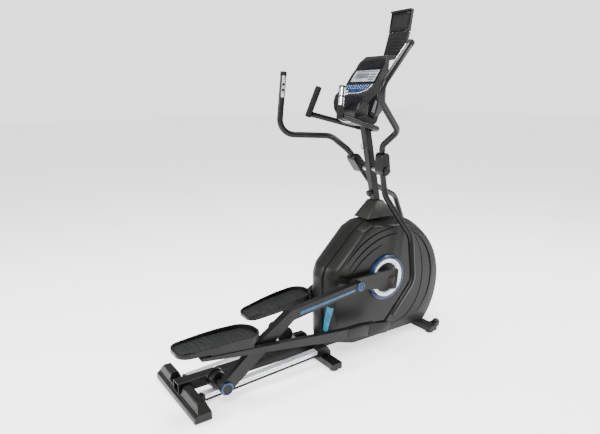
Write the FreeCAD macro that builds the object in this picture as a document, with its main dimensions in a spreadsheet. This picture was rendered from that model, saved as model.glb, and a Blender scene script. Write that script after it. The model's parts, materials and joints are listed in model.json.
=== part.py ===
import FreeCAD, Part
import Sketcher
import math
import os
from FreeCAD import Placement, Rotation, Vector

# Elliptical trainer. Millimetres, +Z up, +X towards the drive housing at the front, +Y to the
# user's left. The origin is on the floor, in the middle of the footprint. At rest the right
# pedal is at the rear end of its stroke and the left pedal is at the front end of its own.

doc = FreeCAD.newDocument("elliptical_trainer")
sheet = doc.addObject("Spreadsheet::Sheet", "sizes")

SIZES = [
    # drive and linkage
    ("axle_x", 394.0, "crank axle ahead of the middle of the footprint"),
    ("axle_z", 389.0, "crank axle above the floor"),
    ("crank_throw", 252.0, "crank axle to crank pin"),
    ("crank_lift", 5.5, "angle of the right crank above the rearward horizontal at rest"),
    ("link_length", 832.0, "roller axle to crank pin"),
    ("link_pivot_along", 235.0, "pedal arm pivot along the link"),
    ("link_pivot_up", 62.0, "pedal arm pivot above the line through the link's ends"),
    ("link_bend_along", 425.0, "bend of the link along it"),
    ("link_bend_up", 105.0, "bend of the link above the line through its ends"),
    ("pedal_arm_length", 724.0, "pedal arm pivot to swing arm pin"),
    ("pedal_arm_tail", 318.0, "pedal arm behind its pivot"),
    ("swing_length", 813.5, "mast pivot to swing arm pin"),
    ("mast_pivot_x", 362.5, "mast pivot ahead of the origin"),
    ("mast_pivot_z", 980.0, "mast pivot above the floor"),
    ("mast_lean", 11.3, "lean of the mast towards the user, degrees"),
    # rails and rollers
    ("rail_start_x", -627.5, "roller axle at the start of the rail line"),
    ("rail_start_z", 60.0, "top of the rail there"),
    ("rail_incline", 3.0, "rise of the rails towards the front, degrees"),
    ("rail_behind", 72.0, "rail behind the start of the line"),
    ("rail_ahead", 550.0, "rail ahead of the start of the line"),
    ("rail_plane", 100.0, "middle of a rail from the centre plane"),
    ("rail_width", 36.0, "rail width"),
    ("rail_height", 20.0, "rail height"),
    ("rail_wall", 3.0, "rail wall"),
    ("tray_height", 12.0, "support bar under a rail"),
    ("roller_radius", 40.0, "roller radius"),
    ("roller_width", 34.0, "roller width"),
    ("roller_axle_radius", 8.0, "roller axle radius"),
    ("roller_gap", 0.3, "roller above the rail"),
    ("guard_radius", 44.0, "inner roller guard radius"),
    ("guard_width", 14.0, "inner roller guard width"),
    ("axle_cap_radius", 30.0, "outer cap on the roller axle"),
    ("axle_cap_width", 8.0, "thickness of that cap"),
    # planes of the linkage, from the centre plane
    ("shroud_half_width", 105.0, "side face of the drive housing"),
    ("crank_inner", 129.0, "inner face of a crank arm"),
    ("crank_thickness", 22.0, "crank arm thickness"),
    ("plane_gap", 5.0, "gap between crank arm and link"),
    ("link_thickness", 36.0, "link thickness"),
    ("arm_gap", 8.0, "gap between link and pedal arm"),
    ("pedal_arm_width", 30.0, "pedal arm width"),
    ("pedal_arm_height", 44.0, "pedal arm height"),
    ("pin_radius", 10.0, "pedal arm pivot pin radius"),
    ("running_gap", 0.05, "radial clearance of a turning fit"),
    ("crank_axle_radius", 12.5, "crank axle radius"),
    ("crank_hub_half_height", 58.0, "half height of the crank cover at the axle"),
    ("crank_hub_overhang", 46.0, "crank cover beyond the axle"),
    ("crank_pin_end_radius", 27.0, "crank arm end radius"),
    # swing arms and handlebars
    ("tube_radius", 16.0, "swing arm and handlebar tube radius"),
    ("tube_wall", 2.0, "tube wall"),
    ("lug_thickness", 14.0, "swing arm lug thickness"),
    ("lug_radius", 17.0, "swing arm lug end radius"),
    ("lug_length", 74.0, "swing arm pin to the end of its tube"),
    ("fork_cheek", 5.0, "thickness of a fork cheek at the pedal arm's end"),
    ("pivot_shaft_radius", 15.0, "mast pivot shaft radius"),
    ("pivot_half_length", 126.0, "mast pivot shaft half length"),
    ("hub_inner", 62.0, "inner face of a swing hub from the centre plane"),
    ("hub_width", 60.0, "swing hub width"),
    ("hub_radius", 27.0, "swing hub radius"),
    ("hub_rise", 70.0, "swing hub sleeve above the pivot"),
    ("grip_plane", 272.0, "handle top from the centre plane"),
    ("grip_reach", 110.0, "silver button plate length"),
    # pedals
    ("pedal_length", 402.0, "pedal length"),
    ("pedal_toe_ahead", -14.0, "pedal toe ahead of the pedal arm's pivot"),
    ("pedal_width", 172.0, "pedal width"),
    ("pedal_plane", 141.0, "middle of a pedal from the centre plane"),
    ("pedal_thickness", 34.0, "pedal depth, rim included"),
    ("pedal_floor", 12.0, "pedal floor thickness"),
    ("pedal_rim", 9.0, "pedal rim thickness"),
    ("pedal_lift", 42.0, "underside of the pedal above the pedal arm's middle line"),
    ("pedal_pitch", 4.0, "pitch of the pedal against the pedal arm, degrees"),
    # base
    ("foot_height", 12.0, "levelling foot height"),
    ("foot_radius", 22.0, "levelling foot radius"),
    ("base_tube_width", 60.0, "stabiliser tube width along X"),
    ("base_tube_height", 33.0, "stabiliser tube height"),
    ("base_wall", 2.5, "stabiliser and beam wall"),
    ("beam_width", 60.0, "base beam width"),
    ("beam_height", 50.0, "base beam height"),
    ("rear_foot_x", -762.0, "middle of the rear stabiliser"),
    ("middle_foot_x", -22.0, "middle of the middle stabiliser"),
    ("front_foot_x", 712.0, "middle of the front stabiliser"),
    ("rear_half_span", 225.0, "rear stabiliser half length"),
    ("middle_half_span", 205.0, "middle stabiliser half length"),
    ("front_half_span", 172.0, "front stabiliser half length"),
    ("cap_thickness", 10.0, "stabiliser end cap thickness"),
    ("cover_depth", 80.0, "rear stabiliser cover along X"),
    ("cover_height", 87.0, "top of the rear cover's humps"),
    ("wheel_radius", 27.0, "transport wheel radius"),
    ("wheel_width", 22.0, "transport wheel width"),
    ("wheel_plane", 140.0, "middle of a transport wheel from the centre plane"),
    ("wheel_axle_radius", 5.0, "transport wheel axle radius"),
    # mast
    ("mast_depth", 42.0, "mast section along X"),
    ("mast_width", 38.0, "mast section along Y"),
    ("mast_wall", 2.5, "mast wall"),
    ("mast_top_z", 1240.0, "top of the mast"),
    # drive housing
    ("housing_x", 447.5, "centre of the housing's round front"),
    ("housing_z", 316.0, "height of that centre"),
    ("housing_radius", 363.0, "radius of the side shells' round front"),
    ("rim_step", 34.0, "middle band beyond the side shells"),
    ("rim_half_width", 66.0, "half width of the middle band"),
    ("housing_bottom", 60.0, "underside of the housing"),
    ("housing_wall", 3.0, "housing wall"),
    ("ring_outer", 129.0, "blue ring outer radius"),
    ("ring_middle", 106.0, "blue ring inner and white ring outer radius"),
    ("ring_inner", 84.0, "white ring inner radius"),
    ("ring_thickness", 14.0, "ring stand-out from the housing side"),
    # drive inside the housing
    ("pulley_radius", 130.0, "drive pulley radius"),
    ("pulley_inner", 38.0, "inner face of the drive pulley from the centre plane"),
    ("pulley_width", 14.0, "drive pulley width"),
    ("flywheel_x", 684.0, "flywheel axle ahead of the origin"),
    ("flywheel_z", 300.0, "flywheel axle above the floor"),
    ("flywheel_radius", 112.0, "flywheel radius"),
    ("flywheel_width", 34.0, "flywheel width"),
    ("flywheel_pulley_radius", 18.0, "pulley on the flywheel"),
    ("flywheel_axle_radius", 8.0, "flywheel axle radius"),
    ("belt_thickness", 3.0, "belt thickness"),
    # console, fixed handlebar and tablet holder
    ("console_half_width", 118.0, "console half width"),
    ("console_panel_depth", 3.0, "thickness of the screen and keypad panels"),
    ("key_radius", 6.0, "console key radius"),
    ("key_height", 4.0, "console key height"),
    ("key_gap", 0.4, "clearance round a key or button"),
    ("button_radius", 6.0, "radius of a handlebar button"),
    ("button_plate_turn", 20.0, "button plate turned rearward from facing inboard, degrees"),
    ("press_travel", 1.5, "travel of a key or button"),
    ("bar_radius", 14.0, "fixed handlebar radius"),
    ("bar_front_half", 62.0, "half width of the fixed handlebar round the mast"),
    ("fixed_grip_radius", 16.0, "fixed grip radius"),
    ("fixed_grip_length", 162.0, "fixed grip length"),
    ("sensor_stand_out", 0.8, "pulse sensor plate thickness"),
    ("tablet_lean", 18.0, "lean of the tablet holder, degrees"),
    ("clamp_lean", 10.0, "lean of the tablet clamp, degrees"),
    ("tablet_thickness", 14.0, "tablet holder thickness"),
    ("stand_half_width", 74.0, "tablet stand half width"),
    ("stand_length", 118.0, "tablet stand length"),
    ("clamp_half_width", 75.0, "tablet clamp half width"),
    ("clamp_length", 112.0, "tablet clamp length"),
    ("clamp_lip", 9.0, "reach of the lip at the top of the tablet clamp"),
]

for row, (alias, value, note) in enumerate(SIZES, start=1):
    sheet.set(f"A{row}", note)
    sheet.set(f"B{row}", str(value))
    sheet.setAlias(f"B{row}", alias)
doc.recompute()

SIDES = (("right", -1.0), ("left", 1.0))
ALONG_Y = Rotation(Vector(1, 0, 0), -90)
subparts = []


def size(alias):
    return float(sheet.get(alias))


def keep(item, label):
    """Mark an object as a finished sub-part under its node name."""
    item.Label = label
    subparts.append(item)
    return item


# ---------------------------------------------------------------- plane geometry

def turned_by(angle, along, up):
    """A vector (along, up) in the XZ plane, tipped up by an angle in radians."""
    return (along * math.cos(angle) - up * math.sin(angle),
            along * math.sin(angle) + up * math.cos(angle))


def rounded_edges(corners):
    """Line and arc geometry through corners given as (u, v, corner radius)."""
    edges = []
    ends = []
    count = len(corners)
    for index in range(count):
        before = Vector(*corners[index - 1][:2], 0)
        here = Vector(*corners[index][:2], 0)
        after = Vector(*corners[(index + 1) % count][:2], 0)
        radius = corners[index][2] if len(corners[index]) > 2 else 0.0
        back = (before - here).normalize()
        ahead = (after - here).normalize()
        if radius == 0.0:
            ends.append((here, None, here))
            continue
        half = back.getAngle(ahead) / 2
        reach = radius / math.tan(half)
        middle = here + (back + ahead).normalize() * (radius / math.sin(half) - radius)
        ends.append((here + back * reach, middle, here + ahead * reach))
    for index in range(count):
        start, middle, finish = ends[index]
        if middle is not None:
            edges.append(Part.Arc(start, middle, finish))
        following = ends[(index + 1) % count][0]
        if (following - finish).Length > 1e-6:
            edges.append(Part.LineSegment(finish, following))
    return edges


def wrapped_edges(circles):
    """The outline of a band pulled tight round circles (u, v, radius), in left-turning order."""
    count = len(circles)
    leave = []
    arrive = [None] * count
    for index in range(count):
        u, v, radius = circles[index]
        nu, nv, next_radius = circles[(index + 1) % count]
        heading = math.atan2(nv - v, nu - u)
        spread = math.acos((radius - next_radius) / math.hypot(nu - u, nv - v))
        normal = heading - spread
        out = Vector(math.cos(normal), math.sin(normal), 0)
        leave.append(Vector(u, v, 0) + out * radius)
        arrive[(index + 1) % count] = Vector(nu, nv, 0) + out * next_radius
    edges = []
    for index in range(count):
        u, v, radius = circles[index]
        centre = Vector(u, v, 0)
        start = arrive[index] - centre
        finish = leave[index] - centre
        first = math.atan2(start.y, start.x)
        sweep = (math.atan2(finish.y, finish.x) - first) % (2 * math.pi)
        if sweep > 1.5 * math.pi:
            raise ValueError(f"circle {index} of a wrapped outline lies inside it")
        if sweep > 1e-6:
            angle = first + sweep / 2
            middle = centre + Vector(math.cos(angle), math.sin(angle), 0) * radius
            edges.append(Part.Arc(arrive[index], middle, leave[index]))
        edges.append(Part.LineSegment(leave[index], arrive[(index + 1) % count]))
    return edges


# ---------------------------------------------------------------- building blocks

def origin_plane(body, role):
    for feature in body.Origin.OriginFeatures:
        if feature.Role == role:
            return feature
    raise ValueError(role)


def sketch_on(body, role, edges, offset=0.0, holes=()):
    """A sketch on one of the body's own planes; holes are (u, v, alias of the radius)."""
    sketch = body.newObject("Sketcher::SketchObject", body.Name + "_outline")
    sketch.AttachmentSupport = [(origin_plane(body, role), "")]
    sketch.MapMode = "FlatFace"
    sketch.AttachmentOffset = Placement(Vector(0, 0, offset), Rotation())
    for edge in edges:
        sketch.addGeometry(edge, False)
    for u, v, alias in holes:
        circle = Part.Circle(Vector(u, v, 0), Vector(0, 0, 1), size(alias))
        index = sketch.addGeometry(circle, False)
        number = sketch.addConstraint(Sketcher.Constraint("Radius", index, size(alias)))
        sketch.setExpression(f"Constraints[{number}]", f"sizes.{alias}")
    return sketch


def plate(name, edges, middle, length, holes=(), role="XZ_Plane", place=None):
    """A plate of an outline, as thick as an expression says, centred on a plane.

    On the XZ plane the middle is a Y value, on the XY plane a Z value, on the YZ plane an X value.
    """
    body = doc.addObject("PartDesign::Body", name)
    offset = -middle if role == "XZ_Plane" else middle
    sketch = sketch_on(body, role, edges, offset, holes)
    pad = body.newObject("PartDesign::Pad", name + "_pad")
    pad.Profile = sketch
    pad.SideType = "Symmetric"
    pad.setExpression("Length", length)
    if place is not None:
        body.Placement = place
    return body


def turning(name, profile, place):
    """A turned piece: a closed profile of (radius, height, corner radius) spun about Z."""
    body = doc.addObject("PartDesign::Body", name)
    sketch = sketch_on(body, "XZ_Plane", rounded_edges(profile))
    spun = body.newObject("PartDesign::Revolution", name + "_turn")
    spun.Profile = sketch
    spun.ReferenceAxis = (sketch, ["V_Axis"])
    spun.Angle = 360
    body.Placement = place
    return body


def primitive(kind, name, place, **sizes):
    item = doc.addObject("Part::" + kind, name)
    for name_of_size, expression in sizes.items():
        item.setExpression(name_of_size, expression)
    item.Placement = place
    return item


def cylinder(name, centre, radius, length, rotation=ALONG_Y):
    """A cylinder that starts at a point and runs along the turned Z axis."""
    return primitive("Cylinder", name, Placement(centre, rotation), Radius=radius, Height=length)


def across(name, x, z, y_low, radius, length):
    """A cylinder along +Y from y_low."""
    return cylinder(name, Vector(x, y_low, z), radius, length)


def box(name, corner, length, width, height, rotation=Rotation()):
    return primitive("Box", name, Placement(corner, rotation),
                     Length=length, Width=width, Height=height)


def cut(name, base, tool):
    item = doc.addObject("Part::Cut", name)
    item.Base = base
    item.Tool = tool
    return item


def fuse(name, *pieces):
    item = doc.addObject("Part::MultiFuse", name)
    item.Shapes = list(pieces)
    return item


def group(name, *pieces):
    """Separate solids that share one node."""
    item = doc.addObject("Part::Compound", name)
    item.Links = list(pieces)
    return item


def common(name, base, tool):
    item = doc.addObject("Part::Common", name)
    item.Base = base
    item.Tool = tool
    return item


def bent_path(points, bends):
    """Straight runs joined by tangent arcs; bends are the radii at the inner points."""
    edges = []
    last = points[0]
    for index in range(1, len(points) - 1):
        here = points[index]
        back = (points[index - 1] - here).normalize()
        ahead = (points[index + 1] - here).normalize()
        half = back.getAngle(ahead) / 2
        radius = bends[index - 1]
        reach = radius / math.tan(half)
        start = here + back * reach
        finish = here + ahead * reach
        middle = here + (back + ahead).normalize() * (radius / math.sin(half) - radius)
        edges.append(Part.LineSegment(last, start).toShape())
        edges.append(Part.Arc(start, middle, finish).toShape())
        last = finish
    edges.append(Part.LineSegment(last, points[-1]).toShape())
    return Part.Wire(edges)


def swept_rod(points, bends, radius):
    path = bent_path(points, bends)
    heading = points[1] - points[0]
    ring = Part.Wire(Part.Circle(points[0], heading, radius).toShape())
    return path.makePipeShell([ring], True, False)


def bent_tube(name, points, bends, radius, wall):
    """A bent round tube, open at both ends; with no wall it is a solid rod."""
    shape = swept_rod(points, bends, radius)
    if wall > 0:
        shape = shape.cut(swept_rod(points, bends, radius - wall))
    item = doc.addObject("Part::Feature", name)
    item.Shape = shape
    return item


# ---------------------------------------------------------------- linkage positions

def stroke(crank_angle):
    """Where one side's linkage is when its crank stands at an angle over the rearward level.

    The roller axle is where the rail line is one link length behind the crank pin, and the swing
    pin is where the circles of the swing arm and of the pedal arm cross, below and ahead.
    """
    pin = Vector(size("axle_x") - size("crank_throw") * math.cos(crank_angle), 0,
                 size("axle_z") + size("crank_throw") * math.sin(crank_angle))
    incline = math.radians(size("rail_incline"))
    run = Vector(math.cos(incline), 0, math.sin(incline))
    start = Vector(size("rail_start_x"), 0,
                   size("rail_start_z") + size("roller_radius") + size("roller_gap"))
    offset = pin - start
    along = offset.dot(run)
    travel = along - math.sqrt(size("link_length") ** 2 - offset.dot(offset) + along ** 2)
    roller = start + run * travel
    tilt = math.atan2(pin.z - roller.z, pin.x - roller.x)
    over, up = turned_by(tilt, size("link_pivot_along"), size("link_pivot_up"))
    pivot = roller + Vector(over, 0, up)
    top = Vector(size("mast_pivot_x"), 0, size("mast_pivot_z"))
    gap = top - pivot
    reach = gap.Length
    near = (size("pedal_arm_length") ** 2 - size("swing_length") ** 2 + reach ** 2) / (2 * reach)
    aside = math.sqrt(size("pedal_arm_length") ** 2 - near ** 2)
    toward = gap * (1 / reach)
    below = Vector(toward.z, 0, -toward.x)
    swing_pin = pivot + toward * near + below * aside
    return {
        "pin": pin,
        "roller": roller,
        "tilt": tilt,
        "pivot": pivot,
        "swing_pin": swing_pin,
        "arm_tilt": math.atan2(swing_pin.z - pivot.z, swing_pin.x - pivot.x),
        "swing_angle": math.atan2(swing_pin.x - top.x, top.z - swing_pin.z),
    }


lift = math.radians(size("crank_lift"))
REST = {"right": stroke(lift), "left": stroke(lift + math.pi)}


def at_tilt(point, angle, y=0.0):
    """A placement at a point of the XZ plane, its X axis tipped up by an angle in radians."""
    return Placement(Vector(point.x, y, point.z),
                     Rotation(Vector(0, 1, 0), -math.degrees(angle)))


def low_face(side, inner, thickness):
    """The lower Y of a plate that starts at a distance from the centre plane on one side."""
    return inner if side > 0 else -inner - thickness


crank_outer = size("crank_inner") + size("crank_thickness")
link_inner = crank_outer + size("plane_gap")
link_outer = link_inner + size("link_thickness")
arm_inner = link_outer + size("arm_gap")
arm_middle = arm_inner + size("pedal_arm_width") / 2
mast_slope = math.tan(math.radians(size("mast_lean")))
beam_bottom = size("foot_height") + size("base_tube_height")
beam_top = beam_bottom + size("beam_height")


def mast_x(z):
    """The mast's middle line at a height."""
    return size("mast_pivot_x") - (z - size("mast_pivot_z")) * mast_slope


# ---------------------------------------------------------------- base

def square_tube(name, corner, length, width, height, open_along):
    """A rectangular tube, hollow through its length along X or Y."""
    outer = box(name + "_outer", corner, length, width, height)
    wall = size("base_wall")
    if open_along == "X":
        inner = box(name + "_bore", corner + Vector(0, wall, wall), length,
                    f"{width} - 2 * sizes.base_wall", f"{height} - 2 * sizes.base_wall")
    else:
        inner = box(name + "_bore", corner + Vector(wall, 0, wall),
                    f"{length} - 2 * sizes.base_wall", width, f"{height} - 2 * sizes.base_wall")
    return cut(name, outer, inner)


beam_start = size("rear_foot_x") - size("base_tube_width") / 2
main_beam = square_tube("main_beam", Vector(beam_start, -size("beam_width") / 2, beam_bottom),
                        "sizes.front_foot_x - sizes.rear_foot_x + sizes.base_tube_width",
                        "sizes.beam_width", "sizes.beam_height", "X")

feet = []
caps = []
cross_tubes = {}
for place_name in ("rear", "middle", "front"):
    middle_x = size(place_name + "_foot_x")
    half = size(place_name + "_half_span")
    corner = Vector(middle_x - size("base_tube_width") / 2, -half, size("foot_height"))
    stabiliser = square_tube(place_name + "_cross_tube", corner, "sizes.base_tube_width",
                             f"2 * sizes.{place_name}_half_span", "sizes.base_tube_height", "Y")
    cross_tubes[place_name] = stabiliser
    for side_name, side in SIDES:
        end = side * half
        foot_y = end - side * size("foot_radius")
        # a rubber foot, wider at the floor than under the tube
        feet.append(turning(f"{place_name}_{side_name}_foot", [
            (0, 0), (size("foot_radius"), 0, 0), (size("foot_radius"), 4, 2),
            (size("foot_radius") - 7, size("foot_height")), (0, size("foot_height"))],
            Placement(Vector(middle_x, foot_y, 0), Rotation())))
        low = end if side > 0 else end - size("cap_thickness")
        caps.append(box(f"{place_name}_{side_name}_cap",
                        Vector(corner.x, low, size("foot_height")), "sizes.base_tube_width",
                        "sizes.cap_thickness", "sizes.base_tube_height"))
keep(cross_tubes["rear"], "rear_stabiliser")
keep(group("welded_frame", main_beam, cross_tubes["middle"]), "base_beam")
keep(group("levelling_feet", *feet), "levelling_feet")
keep(group("stabiliser_caps", *caps), "stabiliser_caps")

# The moulded cover of the rear stabiliser: a broad foot, an upper block set in from it, ends
# that slope down and a low stretch in the middle as a hand hold.
cover_edge = size("rear_half_span") + size("cap_thickness") + 2
cover_back = size("rear_foot_x") - size("cover_depth") / 2
cover_front = size("rear_foot_x") + size("cover_depth") / 2
cover_top = size("cover_height")
cover_profile = plate("cover_profile", rounded_edges([
    (cover_back, 8), (cover_front, 8), (cover_front, 44, 6), (cover_front - 16, cover_top, 10),
    (cover_back + 28, cover_top, 14), (cover_back + 14, 42), (cover_back, 36, 8)]), 0,
    "2 * (sizes.rear_half_span + sizes.cap_thickness + 2)")
cover_ends = plate("cover_ends", rounded_edges([
    (-cover_edge, 0), (cover_edge, 0), (cover_edge, 46, 10), (cover_edge - 34, cover_top + 2, 16),
    (-cover_edge + 34, cover_top + 2, 16), (-cover_edge, 46, 10)]), size("rear_foot_x"),
    "2 * sizes.cover_depth", role="YZ_Plane")
cover_solid = common("cover_solid", cover_profile, cover_ends)
cover_tube_space = box("cover_tube_space",
                       Vector(beam_start - 0.5, -cover_edge + 2, 0),
                       "sizes.base_tube_width + 1",
                       "2 * (sizes.rear_half_span + sizes.cap_thickness)",
                       "sizes.foot_height + sizes.base_tube_height + 0.5")
cover_beam_space = box("cover_beam_space",
                       Vector(beam_start - 0.5, -size("beam_width") / 2 - 0.5, 0),
                       "sizes.cover_depth", "sizes.beam_width + 1",
                       "sizes.cover_height + 20")
cover_hand_hold = box("cover_hand_hold", Vector(cover_back - 1, -46, 56),
                      "2 * sizes.cover_depth", "146 mm", "60 mm")
cover_hollow = fuse("cover_hollow", cover_tube_space, cover_beam_space, cover_hand_hold)
keep(cut("rear_stabiliser_cover", cover_solid, cover_hollow), "rear_stabiliser_cover")

# Transport wheels turn on short axles held by ears ahead of the front stabiliser.
wheel_x = size("front_foot_x") + size("base_tube_width") / 2 + size("wheel_radius") + 5
wheel_z = size("wheel_radius") + 8
ear_back = size("front_foot_x") + size("base_tube_width") / 2
ears = []
wheels = []
for side_name, side in SIDES:
    wheel_y = side * size("wheel_plane")
    for offset in (-1, 1):
        ear_y = wheel_y + offset * (size("wheel_width") / 2 + 5)
        outline = rounded_edges([
            (ear_back, size("foot_height")), (wheel_x + 12, wheel_z - 13, 11),
            (wheel_x + 12, wheel_z + 12, 11), (ear_back, size("foot_height") + 32)])
        ears.append(plate(f"ear_{side_name}_{offset + 1}", outline, ear_y, "6 mm"))
    ears.append(across(f"wheel_axle_{side_name}", wheel_x, wheel_z,
                       wheel_y - size("wheel_width") / 2 - 5, "sizes.wheel_axle_radius",
                       "sizes.wheel_width + 10"))
    half = size("wheel_width") / 2
    bore = size("wheel_axle_radius") + size("running_gap")
    wheels.append(turning(f"wheel_{side_name}", [
        (bore, -half), (size("wheel_radius"), -half, 5), (size("wheel_radius"), half, 5),
        (bore, half)], Placement(Vector(wheel_x, wheel_y, wheel_z), ALONG_Y)))
wheel_brackets = fuse("wheel_brackets", *ears)
keep(group("front_stabiliser_and_ears", cross_tubes["front"], wheel_brackets),
     "front_stabiliser")
keep(group("transport_wheels", *wheels), "transport_wheels")

# ---------------------------------------------------------------- rails

incline = math.radians(size("rail_incline"))
rail_turn = Rotation(Vector(0, 1, 0), -size("rail_incline"))


def on_rail(along, down, y):
    """A point a distance along the rail line and below the rail's top face."""
    start = Vector(size("rail_start_x"), y, size("rail_start_z"))
    over, up = turned_by(incline, along, -down)
    return start + Vector(over, 0, up)


supports = []
rails = []
for side_name, side in SIDES:
    low_y = side * size("rail_plane") - size("rail_width") / 2
    rail_corner = on_rail(-size("rail_behind"), size("rail_height"), low_y)
    outer = box(f"{side_name}_rail_outer", rail_corner, "sizes.rail_behind + sizes.rail_ahead",
                "sizes.rail_width", "sizes.rail_height", rail_turn)
    wall = size("rail_wall")
    over, up = turned_by(incline, 0, wall)
    bore = box(f"{side_name}_rail_bore", rail_corner + Vector(over, wall, up),
               "sizes.rail_behind + sizes.rail_ahead", "sizes.rail_width - 2 * sizes.rail_wall",
               "sizes.rail_height - 2 * sizes.rail_wall", rail_turn)
    rails.append(cut(f"{side_name}_rail", outer, bore))
    supports.append(box(f"{side_name}_tray",
                        on_rail(-size("rail_behind"), size("rail_height") + size("tray_height"),
                                low_y),
                        "sizes.rail_behind + sizes.rail_ahead", "sizes.rail_width",
                        "sizes.tray_height", rail_turn))
    # the rear end is carried by a block on the stabiliser, the front end by a stop block
    rail_back = on_rail(-size("rail_behind"), 0, 0)
    block_back = size("rear_foot_x") + 4 + size("cover_depth") / 2 + 1
    rear_outline = rounded_edges([
        (block_back, 22), (rail_back.x - 1, 22), (rail_back.x - 1, rail_back.z + 3, 6),
        (block_back, rail_back.z - 6)])
    supports.append(plate(f"{side_name}_rear_block", rear_outline, side * size("rail_plane"),
                          "sizes.rail_width"))
    rail_front = on_rail(size("rail_ahead"), 0, 0)
    stop_back = rail_front.x + 3
    foot_back = size("middle_foot_x") - size("base_tube_width") / 2
    foot_front = size("middle_foot_x") + size("base_tube_width") / 2
    front_outline = rounded_edges([
        (foot_back, beam_bottom), (foot_front, beam_bottom), (foot_front, beam_bottom + 22, 8),
        (foot_front - 22, rail_front.z + 10, 10), (stop_back, rail_front.z + 10, 4),
        (stop_back, beam_bottom + 6), (foot_back, beam_bottom + 6)])
    supports.append(plate(f"{side_name}_stop_block", front_outline, side * size("rail_plane"),
                          "sizes.rail_width"))
keep(group("rail_pair", *rails), "rails")
keep(group("rail_supports", *supports), "rail_supports")

# ---------------------------------------------------------------- mast

mast_half = size("mast_depth") / 2 / math.cos(math.radians(size("mast_lean")))


def mast_outline(inset, low, high):
    """The side view of the mast, inset at the front and back, between two heights."""
    half = mast_half - inset
    return rounded_edges([(mast_x(low) - half, low), (mast_x(low) + half, low),
                          (mast_x(high) + half, high), (mast_x(high) - half, high)])


mast_outer = plate("mast_outer", mast_outline(0, beam_top, size("mast_top_z")), 0,
                   "sizes.mast_width")
mast_bore = plate("mast_bore", mast_outline(size("mast_wall"), beam_top - 5,
                                            size("mast_top_z") + 5), 0,
                  "sizes.mast_width - 2 * sizes.mast_wall")
mast_shaft_hole = across("mast_shaft_hole", size("mast_pivot_x"), size("mast_pivot_z"),
                         -size("mast_width"), "sizes.pivot_shaft_radius + sizes.running_gap",
                         "2 * sizes.mast_width")
mast_spaces = fuse("mast_spaces", mast_bore, mast_shaft_hole)
keep(cut("mast_tube", mast_outer, mast_spaces), "mast")

keep(across("pivot_shaft", size("mast_pivot_x"), size("mast_pivot_z"),
            -size("pivot_half_length"), "sizes.pivot_shaft_radius",
            "2 * sizes.pivot_half_length"), "pivot_shaft")

# A round locking knob and a small wire hook stand on the mast's user side.
knob_z = 848
mast_normal = Rotation(Vector(0, 1, 0), -90 - size("mast_lean"))
knob_face = Vector(mast_x(knob_z) - mast_half, 0, knob_z)
knob = turning("mast_knob", [(0, 0.2), (9, 0.2), (9, 8), (18, 10, 3), (18, 24, 7), (0, 26)],
               Placement(knob_face, mast_normal))
hook_z = 1090
hook_face = Vector(mast_x(hook_z) - mast_half, 12, hook_z)
hook_points = [hook_face + Vector(-0.1, 0, 0), hook_face + Vector(-14, 0, -5),
               hook_face + Vector(-17, 0, 26)]
hook = bent_tube("mast_hook", hook_points, [7], 2, 0)
keep(group("knob_and_hook", knob, hook), "mast_fittings")
pivot_caps = []
for side_name, side in SIDES:
    pivot_caps.append(turning(f"{side_name}_pivot_cap", [
        (0, 0.2), (21, 0.2), (21, 4, 1.5), (14, 6, 3), (0, 6)],
        Placement(Vector(size("mast_pivot_x"), side * size("pivot_half_length"),
                         size("mast_pivot_z")), Rotation(Vector(1, 0, 0), -side * 90))))
keep(group("pivot_cap_pair", *pivot_caps), "pivot_caps")

# ---------------------------------------------------------------- drive housing


def housing_outline(grow):
    """The side view of the housing; the round front and the rear edge grow together."""
    rear = 50 - grow * 1.4
    bottom = size("housing_bottom")
    centre_x = size("housing_x")
    centre_z = size("housing_z")
    radius = size("housing_radius") + grow
    low_angle = -math.asin((centre_z - bottom) / radius)
    high_angle = math.radians(78)
    start = Vector(centre_x + radius * math.cos(low_angle), bottom, 0)
    middle_angle = (low_angle + high_angle) / 2
    middle = Vector(centre_x + radius * math.cos(middle_angle),
                    centre_z + radius * math.sin(middle_angle), 0)
    finish = Vector(centre_x + radius * math.cos(high_angle),
                    centre_z + radius * math.sin(high_angle), 0)
    edges = [Part.Arc(start, middle, finish)]
    outline = [finish,
               Vector(300, 690 + grow * 0.8, 0),
               Vector(240 - grow * 0.3, 662 + grow * 0.8, 0),
               Vector(rear + 18, 490, 0),
               Vector(rear, 440, 0),
               Vector(rear, bottom + 34, 0),
               Vector(rear + 110, bottom, 0),
               start]
    for first, second in zip(outline, outline[1:]):
        edges.append(Part.LineSegment(first, second))
    return edges


side_gap = 0.5
shell_depth = size("shroud_half_width") - size("rim_half_width") - side_gap
for side_name, side in SIDES:
    middle = side * (size("shroud_half_width") - shell_depth / 2)
    solid = plate(f"{side_name}_shell_solid", housing_outline(0), middle,
                  "sizes.shroud_half_width - sizes.rim_half_width - 0.5",
                  holes=[(size("axle_x"), size("axle_z"), "ring_inner")])
    hollow = plate(f"{side_name}_shell_hollow", housing_outline(-size("housing_wall")),
                   middle - side * size("housing_wall"),
                   "sizes.shroud_half_width - sizes.rim_half_width - 0.5")
    keep(cut(f"{side_name}_shroud", solid, hollow), f"{side_name}_shroud")

band_outer = plate("band_outer", housing_outline(size("rim_step")), 0, "2 * sizes.rim_half_width")
band_inner = plate("band_inner",
                   housing_outline(size("rim_step") - size("housing_wall")), 0,
                   "2 * sizes.rim_half_width + 2")
band_beam_space = box("band_beam_space",
                      Vector(-100, -size("beam_width") / 2 - 2, 0), "1200 mm",
                      "sizes.beam_width + 4",
                      "sizes.foot_height + sizes.base_tube_height + sizes.beam_height + 2")
collar_base = 719
collar_top = 806
band_mast_space = plate("band_mast_space", mast_outline(-4, 600, collar_top + 60), 0,
                        "sizes.mast_width + 8")
band_spaces = fuse("band_spaces", band_inner, band_beam_space, band_mast_space)
band = cut("housing_band", band_outer, band_spaces)
keep(band, "shroud_band")

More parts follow.
